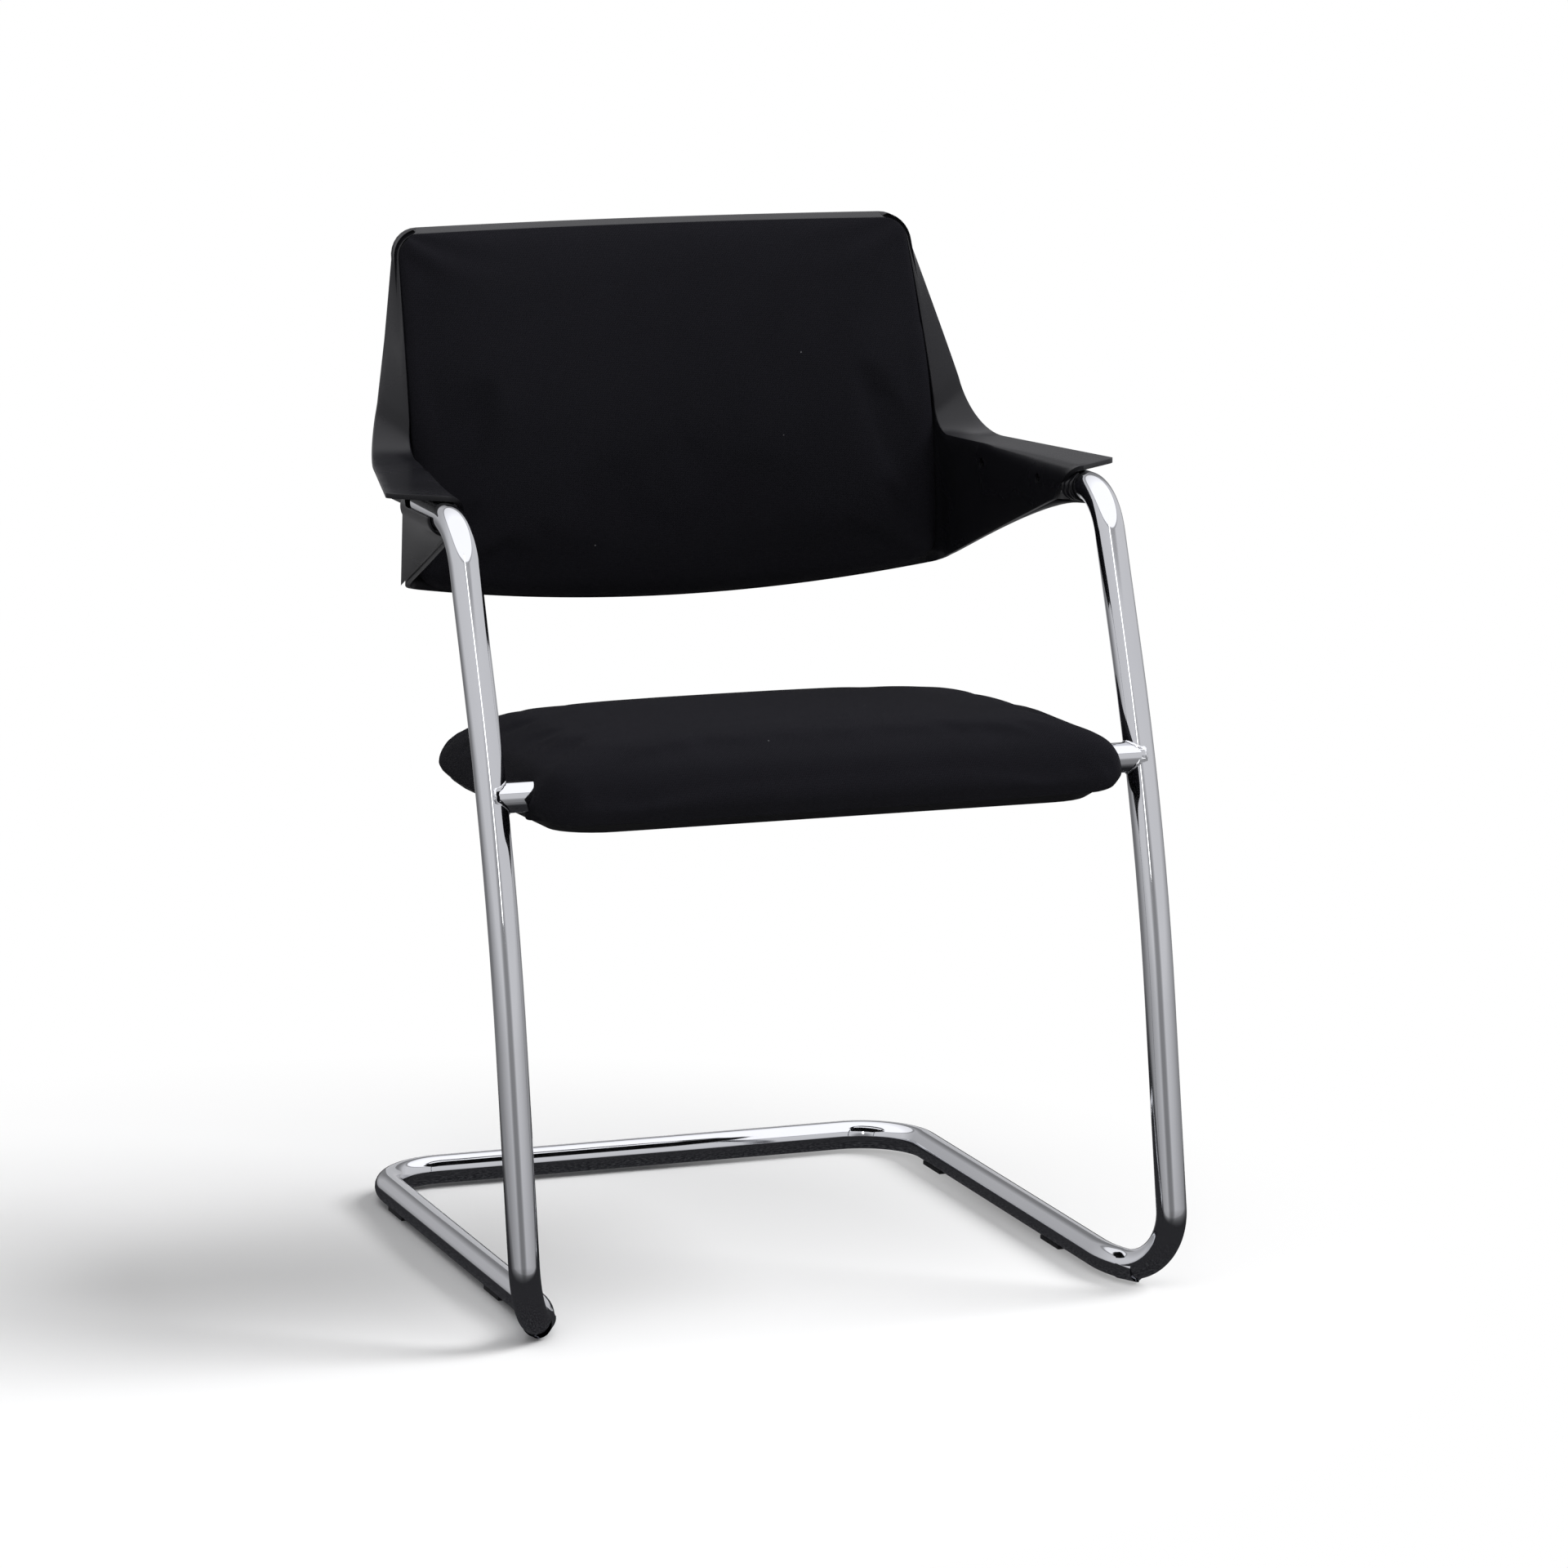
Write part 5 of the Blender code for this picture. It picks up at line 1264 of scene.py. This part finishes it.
def makeCover(side, label):
    # from the outer side of the tube round under it, then straight to the wing's lower edge
    deselectAll()
    arc, flat, cuts = wrap["coverArc"], wrap["coverFlat"], wrap["coverCuts"]
    bpy.ops.mesh.primitive_grid_add(x_subdivisions=cuts, y_subdivisions=arc + flat, size=1)
    piece = started("armTubeCover_" + label)
    outer = tube["radius"] + wrap["gap"] + wrap["coverWall"]
    frontY = shell["wingEndY"] - wrap["gap"] - wrap["collarLength"]
    chinY = shell["wingEndY"] + shell["chin"] + wrap["coverChin"]
    backY = backLine(shell["bottom"]) + wrap["coverBack"]
    for spot in piece.data.vertices:
        along = spot.co.x + 0.5
        step = round((spot.co.y + 0.5) * (arc + flat))
        topY = frontY + (wrap["coverRearY"] - frontY) * along
        lowY = chinY + (backY - chinY) * along
        lowZ = wingLow(lowY) + wrap["coverLift"]
        plate = wrap["coverWall"] * (1 - wrap["coverTaper"] * along**2) + wrap["plateGap"]
        lowX = wingX(lowY, lowZ) + shell["wall"] + plate - tube["uprightX"]
        down = lowZ - tube["armZ"]
        away = math.hypot(lowX, down)
        touch = math.atan2(down, lowX) + 2 * math.pi + math.acos(min(1.0, outer / away))
        # its rear end closes up to the flange
        close = wrap["coverClose"] * eased((along - wrap["closeFrom"]) / wrap["closeOver"])
        begin = math.radians(360 + wrap["coverTop"] + close)
        turn = begin + (touch - begin) * min(1.0, step / arc)
        x, z = outer * math.cos(turn), outer * math.sin(turn)
        share = max(0, step - arc) / flat
        x, z = x + (lowX - x) * share, z + (down - z) * share
        spot.co = chair(side * (tube["uprightX"] + x), topY + (lowY - topY) * share, tube["armZ"] + z)
    middle = piece.data.polygons[len(piece.data.polygons) // 2]
    if middle.normal.x * side < 0:
        flipFaces(piece)
    addWall(piece, wrap["coverWall"])
    addRound(piece, wrap["edgeRound"], wrap["edgeAngle"], wrap["edgeCuts"])
    applyAll(piece)
    smoothed(piece, wrap["coverSmooth"])
    settle(piece, shellPlastic, "shell_plastic", "arm_tube_cover_" + label)


for side, label in ((-1, "left"), (1, "right")):
    makeCollar(side, label)
    makeCover(side, label)
print("collars and covers made")


# the seat's lower cover, with its edges rounded
pan = {"flatAngle": 1, "edgeRound": 0.0012, "edgeAngle": 25, "edgeCuts": 3, "smoothAngle": 40}


def makeSeatPan():
    piece = copyOf("seat_pan", "seatPan")
    dissolveFlat(piece, pan["flatAngle"])
    addRound(piece, pan["edgeRound"], pan["edgeAngle"], pan["edgeCuts"])
    applyAll(piece)
    smoothed(piece, pan["smoothAngle"])
    settle(piece, panPlastic, "pan_plastic", "seat_pan")


makeSeatPan()
print("pan made")


# the CAD's own pieces that keep their shape
keptFinishes = (
    ("glide_", nylon), ("arm_tube_plug_", nylon), ("back_pad_carrier", nylon), ("back_clip_", nylon),
    ("arm_screw_", blackZinc), ("arm_insert_", zinc), ("seat_screw_", zinc), ("seat_tee_nut_", zinc),
    ("seat_rail_", blackSteel), ("seat_board", plywood),
)
for nodeName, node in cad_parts.items():
    for start, material in keptFinishes:
        if nodeName.startswith(start):
            node.data.materials.clear()
            node.data.materials.append(material)
print("kept nodes finished")


# floor, reflections, light and camera
studio = {
    "floorSize": 9.0, "floorCells": 8, "floorColour": (0.92, 0.92, 0.925), "floorRough": 0.9,
    "poolAt": (-0.30, -0.06, 0.0), "fadeFrom": 0.45, "fadeTo": 0.86,
    "cardRadius": 1.0, "cardSides": 64, "cardZ": -0.004, "cardFade": 0.55, "speckle": 260.0,
    "cardDark": (0.020, 0.020, 0.023), "cardLight": (0.10, 0.10, 0.105),
    "lowCardAt": (0.6, 1.6, 0.32), "lowCardWidth": 1.2, "lowCardHeight": 0.50, "lowCardGlow": (0.62, 0.62, 0.64),
    "stripRim": 0.07, "stripAhead": 0.01, "stripGlow": (0.30, 0.30, 0.31), "cardBase": (0.02, 0.02, 0.02),
    "ambient": 0.31, "tint": (1.0, 0.998, 1.03),
    "glossTones": (  # height from below to above, and brightness
        (0.0, 0.28), (0.43, 0.36), (0.50, 0.62), (0.56, 0.88), (0.775, 0.92),
        (0.786, 0.50), (0.794, 0.50), (0.802, 1.7), (1.0, 1.7),
    ),
    # dim patches: a direction, how dim, and the nearness to it from and to
    "cameraSide": ((-0.3366, -0.9416, 0.10), 0.42, 0.90, 0.985),
    "farCorner": ((0.331, 0.925, 0.22), 0.46, 0.88, 0.965),
    "farWall": (0.68, 0.45, 0.85),
    "cameraPlace": (-1.7893, -5.10943, 1.4007), "cameraTurn": (90 - 10.57, 0, -19.67), "lens": 152.28,
    "sensor": 36.0,
}
lamps = {
    "overhead": {
        "place": (-0.3, -1.2, 2.5), "aim": (0, 0, 0.4),
        "width": 2.4, "height": 1.8, "power": 24.0, "inGloss": False,
    },
    "frontStrip": {
        "place": (-0.95, -2.6, 1.95), "aim": (0, -0.2, 0.5),
        "width": 0.22, "height": 1.9, "power": 5.6, "inGloss": True,
    },
    "sideLight": {"way": (-0.74, 0.10, -0.66), "strength": 2.7, "softness": 32.0},
}


def onlyMirrored(piece):
    piece.visible_camera = piece.visible_diffuse = piece.visible_transmission = piece.visible_shadow = False


def glowing(name, colour):
    material, tree, shader = newMaterial(name)
    shader.inputs["Base Color"].default_value = (*studio["cardBase"], 1)
    shader.inputs["Emission Color"].default_value = (*colour, 1)
    shader.inputs["Emission Strength"].default_value = 1.0
    return material


def makeFloor():
    deselectAll()
    cells = studio["floorCells"]
    bpy.ops.mesh.primitive_grid_add(x_subdivisions=cells, y_subdivisions=cells, size=studio["floorSize"])
    piece = started("floor")
    material, tree, shader = newMaterial("paleFloor")
    far = vectorMath(tree, "DISTANCE", objectPlace(tree), studio["poolAt"])
    fade = spread(tree, far.outputs["Value"], 0.0, 1.0, studio["fadeFrom"], studio["fadeTo"])
    shader.inputs["Base Color"].default_value = (*studio["floorColour"], 1)
    shader.inputs["Roughness"].default_value = studio["floorRough"]
    shader.inputs["Specular IOR Level"].default_value = 0.0
    white = tree.nodes.new("ShaderNodeEmission")
    white.inputs["Color"].default_value = (1, 1, 1, 1)
    light = tree.nodes.new("ShaderNodeLightPath")
    seen = mathNode(tree, "MAXIMUM", light.outputs["Is Camera Ray"], light.outputs["Is Transmission Ray"])
    seen = mathNode(tree, "MAXIMUM", seen, light.outputs["Is Glossy Ray"])
    mix = tree.nodes.new("ShaderNodeMixShader")
    tree.links.new(mathNode(tree, "MULTIPLY", fade, seen), mix.inputs[0])
    tree.links.new(shader.outputs[0], mix.inputs[1])
    tree.links.new(white.outputs[0], mix.inputs[2])
    tree.links.new(mix.outputs[0], tree.nodes["Material Output"].inputs["Surface"])
    piece.data.materials.append(material)
    piece.visible_glossy = False


# the dark studio floor that only polished metal shows
def makeFloorCard():
    deselectAll()
    radius = studio["cardRadius"]
    bpy.ops.mesh.primitive_circle_add(
        vertices=studio["cardSides"], radius=radius, fill_type="NGON", location=(0, 0, studio["cardZ"])
    )
    piece = started("floorCard")
    material, tree, shader = newMaterial("floorCard")
    tree.nodes.remove(shader)
    place = objectPlace(tree)
    speckle = noiseNode(tree, place, studio["speckle"], 3.0, 0.7)
    tone = spread(tree, speckle, 0.0, 1.0, 0.45, 0.75)
    glow = tree.nodes.new("ShaderNodeEmission")
    tree.links.new(twoTone(tree, tone, studio["cardDark"], studio["cardLight"]), glow.inputs["Color"])
    far = vectorMath(tree, "LENGTH", place)
    fade = spread(tree, far.outputs["Value"], 0.0, 1.0, radius * studio["cardFade"], radius)
    clear = tree.nodes.new("ShaderNodeBsdfTransparent")
    mix = tree.nodes.new("ShaderNodeMixShader")
    tree.links.new(fade, mix.inputs[0])
    tree.links.new(glow.outputs[0], mix.inputs[1])
    tree.links.new(clear.outputs[0], mix.inputs[2])
    tree.links.new(mix.outputs[0], tree.nodes["Material Output"].inputs["Surface"])
    piece.data.materials.append(material)
    onlyMirrored(piece)


def makeWorld():
    world = bpy.data.worlds.new("studio")
    bpy.context.scene.world = world
    world.use_nodes = True
    tree = world.node_tree
    back = tree.nodes["Background"]
    way = tree.nodes.new("ShaderNodeTexCoord").outputs["Generated"]
    split = tree.nodes.new("ShaderNodeSeparateXYZ")
    tree.links.new(way, split.inputs[0])
    ramp = tree.nodes.new("ShaderNodeValToRGB")
    tones, stops = studio["glossTones"], ramp.color_ramp.elements
    while len(stops) < len(tones):
        stops.new(0.5)
    for stop, (at, tone) in zip(stops, tones):
        stop.position = at
        stop.color = (*[tone / 2 * share for share in studio["tint"]], 1)
    tree.links.new(spread(tree, split.outputs["Z"], 0.0, 1.0, -1.0, 1.0), ramp.inputs[0])
    full = vectorMath(tree, "SCALE", ramp.outputs[0])
    full.inputs["Scale"].default_value = 2.0  # the ramp holds half tones

    def dimmed(colour, factor):
        return mixed(tree, 1.0, colour, factor, "MULTIPLY")

    def patch(direction, dim, fromNear, toNear):
        nearness = vectorMath(tree, "DOT_PRODUCT", way, Vector(direction).normalized())
        return spread(tree, nearness.outputs["Value"], 1.0, dim, fromNear, toNear)

    dim, fromY, toY = studio["farWall"]
    gloss = dimmed(full.outputs[0], patch(*studio["cameraSide"]))
    gloss = dimmed(gloss, spread(tree, split.outputs["Y"], 1.0, dim, fromY, toY))
    gloss = dimmed(gloss, patch(*studio["farCorner"]))
    light = tree.nodes.new("ShaderNodeLightPath")
    pale = mixed(tree, light.outputs["Is Glossy Ray"], (*[studio["ambient"]] * 3, 1), gloss)
    seen = mathNode(tree, "MAXIMUM", light.outputs["Is Camera Ray"], light.outputs["Is Transmission Ray"])
    tree.links.new(mixed(tree, seen, pale, (1, 1, 1, 1)), back.inputs["Color"])
    back.inputs["Strength"].default_value = 1.0


def softbox(name, place, aim, width, height, power, inGloss):
    lamp = bpy.data.lights.new(name, "AREA")
    lamp.shape = "RECTANGLE"
    lamp.size, lamp.size_y = width, height
    lamp.energy = power
    piece = bpy.data.objects.new(name, lamp)
    bpy.context.scene.collection.objects.link(piece)
    piece.location = place
    piece.rotation_euler = (Vector(aim) - Vector(place)).to_track_quat("-Z", "Y").to_euler()
    piece.visible_glossy = inGloss
    return piece


# the dark frame round the strip, which only reflections show
def makeStripFrame(strip):
    deselectAll()
    bpy.ops.mesh.primitive_plane_add(size=1)
    piece = started("stripFrame")
    lamp, turn = strip.data, strip.rotation_euler.to_matrix()
    for spot in piece.data.vertices:
        width, height = lamp.size + studio["stripRim"], lamp.size_y + studio["stripRim"]
        spot.co = turn @ Vector((spot.co.x * width, spot.co.y * height, studio["stripAhead"])) + strip.location
    piece.data.materials.append(glowing("stripFrame", studio["stripGlow"]))
    onlyMirrored(piece)


# a low pale card behind the chair, which only the runners mirror
def makeLowCard():
    deselectAll()
    bpy.ops.mesh.primitive_plane_add(size=1, location=studio["lowCardAt"], rotation=(math.radians(90), 0, 0))
    piece = started("lowCard")
    middle = Vector(studio["lowCardAt"])
    for spot in piece.data.vertices:
        away = spot.co - middle
        away.x *= studio["lowCardWidth"]
        away.z *= studio["lowCardHeight"]
        spot.co = middle + away
    piece.data.materials.append(glowing("lowCard", studio["lowCardGlow"]))
    onlyMirrored(piece)


# the broad side light whose shadow lies to the left
def sideSun(name, way, strength, softness):
    lamp = bpy.data.lights.new(name, "SUN")
    lamp.energy = strength
    lamp.angle = math.radians(softness)
    piece = bpy.data.objects.new(name, lamp)
    bpy.context.scene.collection.objects.link(piece)
    piece.rotation_euler = Vector(way).to_track_quat("-Z", "Y").to_euler()
    piece.visible_glossy = False


def makeCamera():
    lens = bpy.data.cameras.new("photoView")
    lens.lens = studio["lens"]
    lens.sensor_width = studio["sensor"]
    piece = bpy.data.objects.new("photoView", lens)
    bpy.context.scene.collection.objects.link(piece)
    piece.location = studio["cameraPlace"]
    piece.rotation_euler = [math.radians(angle) for angle in studio["cameraTurn"]]
    bpy.context.scene.camera = piece


makeFloor()
makeFloorCard()
makeWorld()
softbox("overhead", **lamps["overhead"])
makeStripFrame(softbox("frontStrip", **lamps["frontStrip"]))
sideSun("sideLight", **lamps["sideLight"])
makeLowCard()
makeCamera()
bpy.context.scene.view_settings.view_transform = "Standard"
print("studio made")
